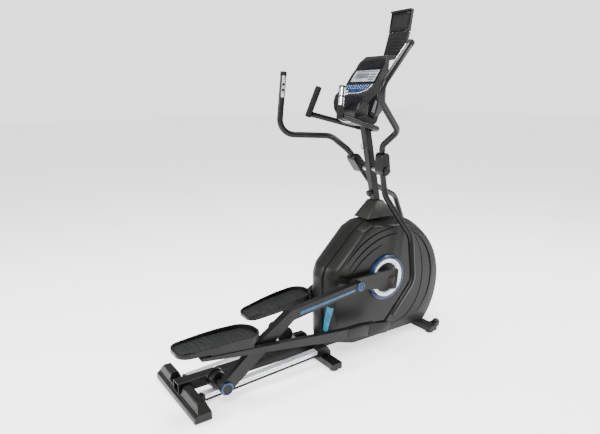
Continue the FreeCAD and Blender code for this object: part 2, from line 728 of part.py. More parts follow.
# The collar closes the housing round the mast.
collar_side = plate("collar_side", rounded_edges([
    (292, collar_base), (500, collar_base),
    (mast_x(collar_top) + 30, collar_top, 8), (mast_x(collar_top) - 30, collar_top, 8)]), 0,
    "2 * sizes.rim_half_width")
collar_front = plate("collar_front", rounded_edges([
    (-size("rim_half_width") + 2, collar_base - 1), (size("rim_half_width") - 2, collar_base - 1),
    (40, collar_top + 1), (-40, collar_top + 1)]), 400, "600 mm", role="YZ_Plane")
collar_solid = common("collar_solid", collar_side, collar_front)
collar_space = plate("collar_space", mast_outline(-2, 640, collar_top + 60), 0,
                     "sizes.mast_width + 4")
keep(cut("collar_piece", collar_solid, collar_space), "shroud_collar")


def ring_pair(name, outer, inner):
    """A flat ring on each side of the housing, round the crank axle."""
    rings = []
    for side_name, side in SIDES:
        low = low_face(side, size("shroud_half_width"), size("ring_thickness"))
        disc = across(f"{name}_{side_name}_disc", size("axle_x"), size("axle_z"), low, outer,
                      "sizes.ring_thickness")
        bore = across(f"{name}_{side_name}_bore", size("axle_x"), size("axle_z"), low, inner,
                      "sizes.ring_thickness")
        rings.append(cut(f"{name}_{side_name}", disc, bore))
    return group(name, *rings)


keep(ring_pair("blue_rings", "sizes.ring_outer", "sizes.ring_middle"), "ring_trims")
keep(ring_pair("white_rings", "sizes.ring_middle - 0.2", "sizes.ring_inner"), "ring_liners")

# ---------------------------------------------------------------- drive

bearing_half = size("pulley_inner") - 6
bearing = across("bearing_tube", size("axle_x"), size("axle_z"), -bearing_half,
                 "sizes.crank_axle_radius + 12", "2 * (sizes.pulley_inner - 6)")
gusset = plate("bearing_gusset", rounded_edges([
    (size("axle_x"), size("axle_z") - 22),
    (mast_x(size("axle_z") - 60) - mast_half - 0.2, size("axle_z") - 60),
    (mast_x(size("axle_z") + 60) - mast_half - 0.2, size("axle_z") + 60),
    (size("axle_x"), size("axle_z") + 22)]), 0, "40 mm")
bearing_bore = across("bearing_bore", size("axle_x"), size("axle_z"), -bearing_half - 1,
                      "sizes.crank_axle_radius + sizes.running_gap",
                      "2 * (sizes.pulley_inner - 5)")
carrier = fuse("bearing_carrier", bearing, gusset)
axle_carrier = cut("axle_carrier_piece", carrier, bearing_bore)

flywheel_centre = Vector(size("flywheel_x"), 0, size("flywheel_z"))
fork_pieces = []
for side_name, side in SIDES:
    outline = rounded_edges([
        (size("flywheel_x") - 34, beam_top), (size("flywheel_x") + 34, beam_top),
        (size("flywheel_x") + 18, size("flywheel_z") + 20, 14),
        (size("flywheel_x") - 18, size("flywheel_z") + 20, 14)])
    fork_pieces.append(plate(f"flywheel_plate_{side_name}", outline,
                             side * (size("beam_width") / 2 - 3), "6 mm"))
fork_pieces.append(across("flywheel_axle", size("flywheel_x"), size("flywheel_z"), -30,
                          "sizes.flywheel_axle_radius", "92 mm"))
flywheel_fork = fuse("flywheel_fork_piece", *fork_pieces)
keep(group("carrier_and_fork", axle_carrier, flywheel_fork), "drive_frame")

bore = size("flywheel_axle_radius") + size("running_gap")
half = size("flywheel_width") / 2
belt_low = size("pulley_inner")
belt_high = size("pulley_inner") + size("pulley_width")
wheel_disc = turning("flywheel_disc", [
    (bore, -half + 4), (24, -half + 4), (24, -8, 4), (size("flywheel_radius") - 26, -8, 4),
    (size("flywheel_radius") - 22, -half), (size("flywheel_radius"), -half, 2),
    (size("flywheel_radius"), half, 2), (size("flywheel_radius") - 22, half),
    (size("flywheel_radius") - 26, 8, 4), (24, 8, 4), (24, half - 2), (bore, half - 2)],
    Placement(flywheel_centre, ALONG_Y))
small_pulley = turning("flywheel_pulley_piece", [
    (bore, belt_low - 1), (size("flywheel_pulley_radius"), belt_low - 1),
    (size("flywheel_pulley_radius"), belt_high), (bore, belt_high)],
    Placement(flywheel_centre, ALONG_Y))
keep(group("disc_and_pulley", wheel_disc, small_pulley), "flywheel")

shoe_outer = across("shoe_outer", size("flywheel_x"), size("flywheel_z"), -14,
                    "sizes.flywheel_radius + 18", "28 mm")
shoe_inner = across("shoe_inner", size("flywheel_x"), size("flywheel_z"), -15,
                    "sizes.flywheel_radius + 4", "30 mm")
shoe_ring = cut("shoe_ring", shoe_outer, shoe_inner)
shoe_sector = box("shoe_sector", Vector(size("flywheel_x") - 70, -20, size("flywheel_z") + 60),
                  "140 mm", "40 mm", "sizes.flywheel_radius")
keep(common("shoe_piece", shoe_ring, shoe_sector), "brake_magnet")


def belt_outline(grow):
    return wrapped_edges([
        (size("axle_x"), size("axle_z"), size("pulley_radius") + grow),
        (size("flywheel_x"), size("flywheel_z"), size("flywheel_pulley_radius") + grow)])


belt_middle = (belt_low + belt_high) / 2
belt_outer = plate("belt_outer", belt_outline(size("belt_thickness") + 0.3), belt_middle,
                   "sizes.pulley_width - 2")
belt_inner = plate("belt_inner", belt_outline(0.3), belt_middle, "sizes.pulley_width")
keep(cut("belt_loop", belt_outer, belt_inner), "drive_belt")

keep(across("axle_bar", size("axle_x"), size("axle_z"), -crank_outer, "sizes.crank_axle_radius",
            "2 * (sizes.crank_inner + sizes.crank_thickness)"), "crank_axle")
axle_bore = size("crank_axle_radius") + size("running_gap")
keep(turning("pulley_piece", [
    (axle_bore, belt_low - 4), (30, belt_low - 4), (30, belt_low + 4, 2),
    (size("pulley_radius") - 14, belt_low + 4, 2), (size("pulley_radius") - 14, belt_low),
    (size("pulley_radius"), belt_low), (size("pulley_radius"), belt_high),
    (size("pulley_radius") - 14, belt_high), (size("pulley_radius") - 14, belt_high - 4, 2),
    (30, belt_high - 4, 2), (30, belt_high + 4), (axle_bore, belt_high + 4)],
    Placement(Vector(size("axle_x"), 0, size("axle_z")), ALONG_Y)), "drive_pulley")

# ---------------------------------------------------------------- linkage

arm_pieces = {}
for side_name, side in SIDES:
    rest = REST[side_name]
    crank_tilt = math.atan2(rest["pin"].z - size("axle_z"), rest["pin"].x - size("axle_x"))
    throw = size("crank_throw")
    cover = size("crank_hub_half_height")
    overhang = size("crank_hub_overhang")
    # crank: a flat arm with a squared cover round the axle
    crank_middle = side * (size("crank_inner") + size("crank_thickness") / 2)
    crank_solid = plate(f"{side_name}_crank_solid", wrapped_edges([
        (-overhang + 14, -cover + 14, 14), (throw, 0, size("crank_pin_end_radius")),
        (-overhang + 14, cover - 14, 14)]), crank_middle, "sizes.crank_thickness",
        place=at_tilt(Vector(size("axle_x"), 0, size("axle_z")), crank_tilt))
    crank_hole = across(f"{side_name}_crank_hole", size("axle_x"), size("axle_z"),
                        crank_middle - size("crank_thickness"),
                        "sizes.crank_axle_radius + sizes.running_gap",
                        "2 * sizes.crank_thickness")
    keep(cut(f"{side_name}_crank_piece", crank_solid, crank_hole), f"{side_name}_crank")

    # link: two straight stretches with a bend, a bore for the pedal arm's pin at the rear one
    link_place = at_tilt(rest["roller"], rest["tilt"])
    link_middle = side * (link_inner + size("link_thickness") / 2)
    lower = plate(f"{side_name}_link_lower", wrapped_edges([
        (0, 0, 30), (size("link_bend_along"), size("link_bend_up"), 25),
        (size("link_pivot_along"), size("link_pivot_up"), 36)]), link_middle,
        "sizes.link_thickness", place=link_place)
    upper = plate(f"{side_name}_link_upper", wrapped_edges([
        (size("link_bend_along"), size("link_bend_up"), 25), (size("link_length"), 0, 24)]),
        link_middle, "sizes.link_thickness", place=link_place)
    link_solid = fuse(f"{side_name}_link_solid", lower, upper)
    low_y = low_face(side, link_inner, size("link_thickness")) - 5
    roller_hole = across(f"{side_name}_roller_hole", rest["roller"].x, rest["roller"].z, low_y,
                         "sizes.roller_axle_radius + sizes.running_gap",
                         "sizes.link_thickness + 10")
    pivot_hole = across(f"{side_name}_pivot_hole", rest["pivot"].x, rest["pivot"].z, low_y,
                        "sizes.pin_radius + sizes.running_gap", "sizes.link_thickness + 10")
    link_holes = fuse(f"{side_name}_link_holes", roller_hole, pivot_hole)
    keep(cut(f"{side_name}_link_piece", link_solid, link_holes), f"{side_name}_link")
    cap_low = low_face(side, link_outer, 6)
    keep(turning(f"{side_name}_pin_cap_piece", [(0, 0), (24, 0), (24, 4, 1.5), (20, 6), (0, 6)],
                 Placement(Vector(rest["pin"].x, side * link_outer, rest["pin"].z),
                           Rotation(Vector(1, 0, 0), -side * 90))), f"{side_name}_pin_cap")

    # roller carriage: axle, inner guard, spacer and outer cap
    guard_inner = size("rail_plane") - size("roller_width") / 2 - size("guard_width") - 2
    axle_low = low_face(side, guard_inner, link_outer - guard_inner + 1)
    roller_x = rest["roller"].x
    roller_z = rest["roller"].z
    axle = across(f"{side_name}_roller_axle", roller_x, roller_z, axle_low,
                  "sizes.roller_axle_radius", f"{link_outer - guard_inner + 1} mm")
    guard = across(f"{side_name}_guard", roller_x, roller_z,
                   low_face(side, guard_inner, size("guard_width")),
                   "sizes.guard_radius", "sizes.guard_width")
    spacer_inner = size("rail_plane") + size("roller_width") / 2 + 2
    spacer_length = link_inner - spacer_inner - 1
    spacer = across(f"{side_name}_spacer", roller_x, roller_z,
                    low_face(side, spacer_inner, spacer_length), "20 mm", f"{spacer_length} mm")
    cap = across(f"{side_name}_axle_cap", roller_x, roller_z,
                 low_face(side, link_outer + 1, size("axle_cap_width")),
                 "sizes.axle_cap_radius", "sizes.axle_cap_width")
    keep(fuse(f"{side_name}_carriage_piece", axle, guard, spacer, cap), f"{side_name}_carriage")
    bore = size("roller_axle_radius") + size("running_gap")
    half = size("roller_width") / 2
    keep(turning(f"{side_name}_roller_piece", [
        (bore, -half), (size("roller_radius"), -half, 3), (size("roller_radius"), half, 3),
        (bore, half)], Placement(Vector(roller_x, side * size("rail_plane"), roller_z), ALONG_Y)),
        f"{side_name}_roller")

    # pedal arm: a flat bar with a fork at the swing arm's lug and a pin into the link
    arm_place = at_tilt(rest["pivot"], rest["arm_tilt"])
    reach = size("pedal_arm_length")
    half_height = size("pedal_arm_height") / 2
    arm_solid = plate(f"{side_name}_arm_solid", wrapped_edges([
        (-size("pedal_arm_tail"), 9, 7), (reach - 160, -6, half_height + 4),
        (reach - 4, 0, half_height + 4)]), side * arm_middle,
        "sizes.pedal_arm_width", place=arm_place)
    slot = box(f"{side_name}_fork_slot", Vector(0, 0, 0), "110 mm",
               "sizes.pedal_arm_width - 2 * sizes.fork_cheek", "180 mm",)
    slot_corner = Vector(reach - 66, -size("pedal_arm_width") / 2 + size("fork_cheek"), -90)
    slot.Placement = at_tilt(rest["pivot"], rest["arm_tilt"], side * arm_middle).multiply(
        Placement(slot_corner, Rotation()))
    arm_cut = cut(f"{side_name}_arm_cut", arm_solid, slot)
    pin_low = low_face(side, link_inner, arm_inner - link_inner + 4)
    arm_pin = across(f"{side_name}_arm_pin", rest["pivot"].x, rest["pivot"].z, pin_low,
                     "sizes.pin_radius", f"{arm_inner - link_inner + 4} mm")
    arm_pieces[side_name] = [arm_cut, arm_pin]

# ---------------------------------------------------------------- pedals

half_width = size("pedal_width") / 2


def sole_outline(inset):
    """A foot-shaped outline, narrow at the heel and round at the toe."""
    toe = size("pedal_length") - inset
    wide = half_width - inset
    heel = 70 - inset * 0.8
    return rounded_edges([
        (inset, -heel, 52), (165, -wide, 160), (toe, -wide, wide * 0.92),
        (toe, wide, wide * 0.92), (165, wide, 160), (inset, heel, 52)])


for side_name, side in SIDES:
    rest = REST[side_name]
    pitch = rest["arm_tilt"] + math.radians(size("pedal_pitch"))
    over, up = turned_by(rest["arm_tilt"], size("pedal_toe_ahead"), size("pedal_lift"))
    toe_point = rest["pivot"] + Vector(over, 0, up)
    over, up = turned_by(pitch, -size("pedal_length"), 0)
    heel_point = toe_point + Vector(over, 0, up)
    tray_place = at_tilt(heel_point, pitch, side * size("pedal_plane"))
    tray_solid = plate(f"{side_name}_tray_solid", sole_outline(0),
                       size("pedal_thickness") / 2, "sizes.pedal_thickness", role="XY_Plane",
                       place=tray_place)
    floor = size("pedal_floor")
    tray_space = plate(f"{side_name}_tray_space", sole_outline(size("pedal_rim")),
                       floor + size("pedal_thickness"), "2 * sizes.pedal_thickness",
                       role="XY_Plane", place=tray_place)
    # the rim is low at the heel and full height round the toe
    rim_cut = plate(f"{side_name}_rim_cut", rounded_edges([
        (-5, floor + 5), (size("pedal_length") * 0.62, size("pedal_thickness")),
        (size("pedal_length") * 0.62, size("pedal_thickness") + 20),
        (-5, size("pedal_thickness") + 20)]), 0, "2 * sizes.pedal_width", place=tray_place)
    tray_spaces = fuse(f"{side_name}_tray_spaces", tray_space, rim_cut)
    tray = cut(f"{side_name}_tray", tray_solid, tray_spaces)
    keep(tray, f"{side_name}_pedal")
    # the carrier under the pedal reaches out to the pedal arm's top
    seat_place = at_tilt(rest["pivot"], rest["arm_tilt"])
    clear = size("pedal_arm_height") / 2
    tail = size("pedal_arm_tail")
    drop = math.tan(math.radians(size("pedal_pitch")))
    seat_outline = rounded_edges([
        (-tail + 40, clear - 8), (-70, clear - 8),
        (-70, size("pedal_lift") - (70 + size("pedal_toe_ahead")) * drop - 0.4),
        (-tail + 40, size("pedal_lift") - (tail - 40 + size("pedal_toe_ahead")) * drop - 0.4)])
    seat_inner = size("pedal_plane") - 30
    seat_outer = arm_inner + size("pedal_arm_width") - 5
    seat_middle = side * (seat_inner + seat_outer) / 2
    seat = plate(f"{side_name}_pedal_seat_piece", seat_outline, seat_middle,
                 f"{seat_outer - seat_inner} mm", place=seat_place)
    keep(fuse(f"{side_name}_pedal_arm_piece", *arm_pieces[side_name], seat),
         f"{side_name}_pedal_arm")

# ---------------------------------------------------------------- swing arms and handlebars

pivot = Vector(size("mast_pivot_x"), 0, size("mast_pivot_z"))
hub_middle = size("hub_inner") + size("hub_width") / 2
plate_turn = math.radians(size("button_plate_turn"))
SWING_REST = REST["right"]["swing_angle"]


def swung(side_name, side, along, out, up):
    """A point of the swing arm, given as it stands on the right side at rest."""
    turn = REST[side_name]["swing_angle"] - SWING_REST
    x = along * math.cos(turn) - up * math.sin(turn)
    z = along * math.sin(turn) + up * math.cos(turn)
    return pivot + Vector(x, side * out, z)


for side_name, side in SIDES:
    rest = REST[side_name]
    turn = rest["swing_angle"] - SWING_REST
    pin_along = REST["right"]["swing_pin"].x - pivot.x
    pin_up = REST["right"]["swing_pin"].z - pivot.z
    knee = Vector(134, 0, -600)
    toward = (knee - Vector(pin_along, 0, pin_up)).normalize() * size("lug_length")
    tube_end = (pin_along + toward.x, pin_up + toward.z)
    lower_points = [
        swung(side_name, side, 2, hub_middle, -size("hub_radius") + 6),
        swung(side_name, side, 14, 100, -136),
        swung(side_name, side, 152, 165, -368),
        swung(side_name, side, knee.x, 208, knee.z),
        swung(side_name, side, tube_end[0], arm_middle, tube_end[1])]
    lower_tube = bent_tube(f"{side_name}_lower_tube", lower_points, [110, 120, 110],
                           size("tube_radius"), 0)
    lug = plate(f"{side_name}_lug", wrapped_edges([
        (pin_along, pin_up, size("lug_radius")),
        (tube_end[0] + toward.x * 0.12, tube_end[1] + toward.z * 0.12, 14)]),
        side * arm_middle, "sizes.lug_thickness",
        place=Placement(pivot, Rotation(Vector(0, 1, 0), -math.degrees(turn))))
    sleeve = plate(f"{side_name}_sleeve", wrapped_edges([
        (0, 0, size("hub_radius")), (-4, size("hub_rise"), size("hub_radius") - 4)]),
        side * hub_middle, "sizes.hub_width",
        place=Placement(pivot, Rotation(Vector(0, 1, 0), -math.degrees(turn))))
    swing_solid = fuse(f"{side_name}_swing_solid", lower_tube, lug, sleeve)
    shaft_hole = across(f"{side_name}_shaft_hole", pivot.x, pivot.z,
                        side * hub_middle - size("hub_width"),
                        "sizes.pivot_shaft_radius + sizes.running_gap", "2 * sizes.hub_width")
    keep(cut(f"{side_name}_swing_piece", swing_solid, shaft_hole), f"{side_name}_swing_arm")

    upper_points = [
        swung(side_name, side, -6, hub_middle, size("hub_rise") + size("hub_radius") - 3),
        swung(side_name, side, -9, 94, 128),
        swung(side_name, side, 2, 196, 208),
        swung(side_name, side, -218, 277, 390),
        swung(side_name, side, -2, size("grip_plane"), 630)]
    handlebar = bent_tube(f"{side_name}_handlebar_piece", upper_points, [44, 60, 80],
                          size("tube_radius"), size("tube_wall"))
    keep(handlebar, f"{side_name}_handlebar")

    # silver plate with two buttons, and an end plug, near the top of the handle
    top = upper_points[-1]
    run = (upper_points[-1] - upper_points[-2]).normalize()
    rearward = Vector(-run.z, 0, run.x).normalize()
    inboard = run.cross(rearward) * side
    inboard = inboard if inboard.y * side < 0 else inboard * -1
    facing = (inboard * math.cos(plate_turn) + rearward * math.sin(plate_turn)).normalize()
    sideways = run.cross(facing).normalize()
    frame = FreeCAD.Matrix(facing.x, sideways.x, run.x, 0, facing.y, sideways.y, run.y, 0,
                           facing.z, sideways.z, run.z, 0, 0, 0, 0, 1)
    handle_turn = Rotation(Placement(frame).Rotation)
    foot = top - run * (size("grip_reach") + 22)
    plate_outer = cylinder(f"{side_name}_plate_outer", foot, "sizes.tube_radius + 3",
                           "sizes.grip_reach", handle_turn)
    plate_inner = cylinder(f"{side_name}_plate_inner", foot, "sizes.tube_radius + 0.1",
                           "sizes.grip_reach", handle_turn)
    plate_shell = cut(f"{side_name}_plate_shell", plate_outer, plate_inner)
    sector = box(f"{side_name}_plate_sector", Vector(0, 0, 0), "60 mm", "30 mm",
                 "sizes.grip_reach")
    sector.Placement = Placement(foot, handle_turn).multiply(
        Placement(Vector(4, -15, 0), Rotation()))
    plate_piece = common(f"{side_name}_plate_piece", plate_shell, sector)
    wells = []
    well_floor = size("tube_radius") + 0.6
    for number, rise in ((1, 38), (2, 66)):
        well_place, button_place = [Placement(foot, handle_turn).multiply(
            Placement(Vector(low_end, 0, rise), Rotation(Vector(0, 1, 0), 90)))
            for low_end in (well_floor, well_floor + size("press_travel") + 0.1)]
        wells.append(primitive("Cylinder", f"{side_name}_well_{number}", well_place,
                               Radius="sizes.button_radius + sizes.key_gap", Height="10 mm"))
        button = primitive("Cylinder", f"{side_name}_button_{number}_piece", button_place,
                           Radius="sizes.button_radius", Height="3.4 mm")
        keep(button, f"{side_name}_button_{number}")
    well_pair = fuse(f"{side_name}_wells", *wells)
    keep(cut(f"{side_name}_button_plate_piece", plate_piece, well_pair),
         f"{side_name}_button_plate")

# ---------------------------------------------------------------- fixed handlebar

bar_front_x = mast_x(1190) + mast_half + size("bar_radius") + 2.5
grip_foot = Vector(47.5, 128, 1275)
grip_run = Vector(42, -35, 139).normalize()
bar_end = grip_foot + Vector(bar_front_x - grip_foot.x, size("bar_front_half") - 128,
                             1190 - 1275).normalize() * (size("fixed_grip_radius") + 1.6)


def mirrored(point):
    return Vector(point.x, -point.y, point.z)


bar_corner = Vector(bar_front_x, size("bar_front_half"), 1190)
keep(bent_tube("fixed_bar_piece", [mirrored(bar_end), mirrored(bar_corner), bar_corner, bar_end],
               [40, 40], size("bar_radius"), size("tube_wall")), "fixed_handlebar")
grips = []
sensors = []
for side_name, side in SIDES:
    run = Vector(grip_run.x, side * grip_run.y, grip_run.z)
    foot = Vector(grip_foot.x, side * grip_foot.y, grip_foot.z) - run * 18
    aim = Rotation(Vector(0, 0, 1), run)
    grips.append(cylinder(f"{side_name}_grip", foot, "sizes.fixed_grip_radius",
                          "sizes.fixed_grip_length", aim))
    sleeve_foot = foot + run * 62
    outer = cylinder(f"{side_name}_sensor_outer", sleeve_foot,
                     "sizes.fixed_grip_radius + 0.1 + sizes.sensor_stand_out", "88 mm", aim)
    inner = cylinder(f"{side_name}_sensor_inner", sleeve_foot, "sizes.fixed_grip_radius + 0.1",
                     "88 mm", aim)
    shell = cut(f"{side_name}_sensor_shell", outer, inner)
    bars = []
    for number, angle in enumerate((0, 90)):
        bar = box(f"{side_name}_sensor_gap_{number}", Vector(0, 0, 0), "60 mm", "6 mm", "90 mm")
        bar.Placement = Placement(sleeve_foot, aim).multiply(
            Placement(Vector(0, 0, 0), Rotation(Vector(0, 0, 1), angle))).multiply(
            Placement(Vector(-30, -3, -1), Rotation()))
        bars.append(bar)
    ring_gap = box(f"{side_name}_sensor_ring_gap", Vector(0, 0, 0), "60 mm", "60 mm", "6 mm")
    ring_gap.Placement = Placement(sleeve_foot, aim).multiply(
        Placement(Vector(-30, -30, 41), Rotation()))
    inboard_half = box(f"{side_name}_sensor_inboard", Vector(0, 0, 0), "60 mm", "30 mm", "90 mm")
    inboard_half.Placement = Placement(sleeve_foot, aim).multiply(
        Placement(Vector(-30, 3 if side < 0 else -33, -1), Rotation()))
    bars += [ring_gap, inboard_half]
    gaps = fuse(f"{side_name}_sensor_gaps", *bars)
    sensors.append(cut(f"{side_name}_sensor_strips", shell, gaps))
keep(group("fixed_grips", *grips), "fixed_grips")
keep(group("pulse_sensors", *sensors), "pulse_sensors")

# ---------------------------------------------------------------- console

side_view = plate("console_side", rounded_edges([
    (372, 1548, 10), (280, 1422), (208, 1366, 8), (180, 1285, 24), (200, 1228, 22),
    (285, 1207, 30), (340, 1222, 25), (368, 1320, 40), (382, 1450, 40), (418, 1536, 10),
    (514, 1548), (514, 1567, 4), (386, 1561, 8)]), 0, "2 * sizes.console_half_width")
wide = size("console_half_width")
front_view = plate("console_front", rounded_edges([
    (-58, 1190), (58, 1190), (66, 1262, 20), (wide, 1330, 30), (wide - 6, 1580),
    (-wide + 6, 1580), (-wide, 1330, 30), (-66, 1262, 20)]), 320, "500 mm", role="YZ_Plane")
top_view = plate("console_top", rounded_edges([
    (150, -wide - 1), (305, -wide - 1, 30), (400, -78, 20), (420, -60), (520, -60),
    (520, 60), (420, 60), (400, 78, 20), (305, wide + 1, 30), (150, wide + 1)]), 1400, "600 mm",
    role="XY_Plane")
console_blank = common("console_blank", side_view, front_view)
console_body = common("console_body", console_blank, top_view)
console_mast_space = plate("console_mast_space",
                           mast_outline(-1, 1150, size("mast_top_z") + 1), 0,
                           "sizes.mast_width + 2")
face_angle = math.atan2(1548 - 1422, 372 - 280)
keys_angle = math.atan2(1422 - 1366, 280 - 208)
depth = size("console_panel_depth")
screen_place = Placement(Vector(280, 0, 1422), Rotation(Vector(0, 1, 0),
                                                        -math.degrees(face_angle)))
keys_place = Placement(Vector(208, 0, 1366), Rotation(Vector(0, 1, 0),
                                                      -math.degrees(keys_angle)))


def panel(name, place, start, length, half_span, thickness, top):
    """A flat panel lying on a face of the console, its top face at a height over that face."""
    slab = box(name, Vector(0, 0, 0), length, f"{2 * half_span} mm", thickness)
    slab.Placement = place.multiply(Placement(Vector(start, -half_span, top), Rotation()))
    return slab


screen_space = panel("screen_space", screen_place, 9, "78 mm", 93, "20 mm", -depth - 0.2)
keypad_space = panel("keypad_space", keys_place, 9, "76 mm", 98, "20 mm", -depth - 0.2)
console_spaces = fuse("console_spaces", console_mast_space, screen_space, keypad_space)
keep(cut("console_shell_piece", console_body, console_spaces), "console_shell")
keep(panel("screen_piece", screen_place, 10, "76 mm", 92, "sizes.console_panel_depth", -depth),
     "console_screen")
keypad_slab = panel("keypad_slab", keys_place, 10, "74 mm", 97, "sizes.console_panel_depth",
                    -depth)
key_wells = []
for name, key_y in (("start", -30), ("stop", 30)):
    well_place, key_place = [
        keys_place.multiply(Placement(Vector(32, key_y, low_end), Rotation()))
        for low_end in (-depth - 1, -depth + size("press_travel") + 0.2)]
    key_wells.append(primitive("Cylinder", f"{name}_well", well_place,
                               Radius="sizes.key_radius + sizes.key_gap", Height="10 mm"))
    keep(primitive("Cylinder", f"{name}_key_piece", key_place, Radius="sizes.key_radius",
                   Height="sizes.key_height"), f"{name}_key")
wells = fuse("key_wells", *key_wells)
keep(cut("keypad_piece", keypad_slab, wells), "keypad_panel")

# ---------------------------------------------------------------- tablet holder

lean = size("tablet_lean")
holder_place = Placement(Vector(499, 0, 1572), Rotation(Vector(0, 1, 0), lean))
thick = size("tablet_thickness")
stand = box("stand_plate", Vector(0, 0, 0), "sizes.tablet_thickness",
            "2 * sizes.stand_half_width", "sizes.stand_length")
stand.Placement = holder_place.multiply(
    Placement(Vector(0, -size("stand_half_width"), 0), Rotation()))
keep(stand, "tablet_stand")
clamp_start = size("stand_length") + 0.6
over = clamp_start * math.sin(math.radians(lean))
up = clamp_start * math.cos(math.radians(lean))
clamp_place = Placement(Vector(499 + over, -size("clamp_half_width"), 1572 + up + 0.4),
                        Rotation(Vector(0, 1, 0), size("clamp_lean")))
clamp = box("clamp_plate", Vector(0, 0, 0), "sizes.tablet_thickness",
            "2 * sizes.clamp_half_width", "sizes.clamp_length - 10")
clamp.Placement = clamp_place
lip = box("clamp_lip", Vector(0, 0, 0), "sizes.tablet_thickness + sizes.clamp_lip",
          "2 * sizes.clamp_half_width", "10 mm")
lip.Placement = clamp_place.multiply(
    Placement(Vector(-size("clamp_lip"), 0, size("clamp_length") - 10), Rotation()))
keep(fuse("clamp_piece", clamp, lip), "tablet_clamp")

# ---------------------------------------------------------------- checks and files

doc.recompute()
for item in doc.Objects:
    if "Invalid" in item.State or "Error" in item.State:
        raise RuntimeError(f"{item.Name}: {item.State}")
labels = [item.Label for item in subparts]
if len(set(labels)) != len(labels):
    raise RuntimeError("two sub-parts share a name")
for item in subparts:
    if item.Shape.isNull() or not item.Shape.isValid() or not item.Shape.Solids:
        raise RuntimeError(f"{item.Label}: no valid solid")

os.makedirs("parts", exist_ok=True)
for item in subparts:
    item.Shape.exportStep(f"parts/{item.Label}.step")
print(len(subparts), "sub-parts written")
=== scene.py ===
import json
import math

import bpy
from mathutils import Matrix, Vector


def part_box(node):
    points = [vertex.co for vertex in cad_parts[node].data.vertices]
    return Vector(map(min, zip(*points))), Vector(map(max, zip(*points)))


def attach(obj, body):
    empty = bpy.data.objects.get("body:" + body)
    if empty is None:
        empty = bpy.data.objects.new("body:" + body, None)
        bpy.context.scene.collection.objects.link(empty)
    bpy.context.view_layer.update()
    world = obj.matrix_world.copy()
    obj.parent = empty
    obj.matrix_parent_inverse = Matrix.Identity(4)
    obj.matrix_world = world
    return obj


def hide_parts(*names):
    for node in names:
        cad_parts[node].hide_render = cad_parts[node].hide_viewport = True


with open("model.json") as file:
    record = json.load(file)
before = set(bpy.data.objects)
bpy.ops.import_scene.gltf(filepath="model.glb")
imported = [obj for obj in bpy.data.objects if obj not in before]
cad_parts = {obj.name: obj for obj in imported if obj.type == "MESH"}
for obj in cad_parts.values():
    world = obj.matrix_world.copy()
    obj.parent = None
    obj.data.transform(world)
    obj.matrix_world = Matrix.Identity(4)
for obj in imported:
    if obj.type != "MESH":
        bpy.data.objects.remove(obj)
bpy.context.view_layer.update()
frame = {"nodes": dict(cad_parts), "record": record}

# Lengths below are written in millimetres and turned to metres where a piece is drawn.
# X points to the front of the trainer, Y to the user's left and Z up.
MM = 0.001
SIDES = (("right", -1), ("left", 1))
# Points closer than this are one point, in metres.
MERGE_REACH = 0.01 * MM
# An edge that turns more than this is softened and stays a crease in the shading.
CREASE = math.radians(32)
NODES = frame["nodes"]
JOINTS = {joint["name"]: joint for joint in frame["record"]["behaviour"]["joints"]}
# Slope of each pedal arm at rest, in radians.
ARM_TILT = {"right": -0.10525, "left": 0.03973}


# ---------------------------------------------------------------- drawing helpers

def centre_of(node):
    low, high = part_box(node)
    return (Vector(low) + Vector(high)) / 2 / MM


def joint_place(name):
    return Vector(JOINTS[name]["pos_m"]) / MM


def on_centreline(point):
    """The point beside this one in the trainer's middle plane."""
    return Vector((point.x, 0, point.z))


def circle(radius, steps=24):
    """Points (across, up) round a circle."""
    turns = [2 * math.pi * k / steps for k in range(steps)]
    return [(radius * math.cos(t), radius * math.sin(t)) for t in turns]


def arc(centre, radius, start, end, steps):
    """Points on an arc in the XZ plane, angles in degrees."""
    turns = [math.radians(start + (end - start) * k / steps) for k in range(steps + 1)]
    return [(centre[0] + radius * math.cos(t), centre[1] + radius * math.sin(t)) for t in turns]


def rounded(corners, steps=5):
    """A closed outline with each (along, up, radius) corner turned into a fillet."""
    outline = []
    count = len(corners)
    for k, (x, z, radius) in enumerate(corners):
        here = Vector((x, z))
        back = Vector(corners[k - 1][:2]) - here
        on = Vector(corners[(k + 1) % count][:2]) - here
        reach = min(radius / math.tan(back.angle(on) / 2), back.length * 0.48, on.length * 0.48)
        start = here + back.normalized() * reach
        end = here + on.normalized() * reach
        for step in range(steps + 1):
            t = step / steps
            spot = start * (1 - t) ** 2 + here * 2 * t * (1 - t) + end * t ** 2
            outline.append((spot.x, spot.y))
    return outline


def flowing(points, steps=6):
    """A smooth line through the points."""
    ends = [points[0], *points, points[-1]]
    line = []
    for a, b, c, d in zip(ends, ends[1:], ends[2:], ends[3:]):
        for step in range(steps):
            t = step / steps
            line.append(tuple(0.5 * (2 * q + (r - p) * t + (2 * p - 5 * q + 4 * r - s) * t * t
                                     + (3 * q - p - 3 * r + s) * t ** 3)
                              for p, q, r, s in zip(a, b, c, d)))
    return line + [points[-1]]


def ribbon(line, wide, ends=0.3):
    """A closed outline round a line, narrower at its two ends."""
    left, right = [], []
    for k, here in enumerate(line):
        along = Vector(line[min(k + 1, len(line) - 1)]) - Vector(line[max(k - 1, 0)])
        across = Vector((-along.y, along.x)).normalized()
        share = ends + (1 - ends) * math.sin(math.pi * k / (len(line) - 1))
        left.append(tuple(Vector(here) + across * wide * share / 2))
        right.append(tuple(Vector(here) - across * wide * share / 2))
    return left + right[::-1]


def upright(outline, y):
    """Points of an outline in the XZ plane at y."""
    return [Vector((x, y, z)) for x, z in outline]


def tilted(origin, tilt):
    """Turns (along, up) of a tilted part into a point at y."""
    def spot(along, up, y):
        return Vector((origin.x + along * math.cos(tilt) - up * math.sin(tilt), y,
                       origin.z + along * math.sin(tilt) + up * math.cos(tilt)))
    return spot


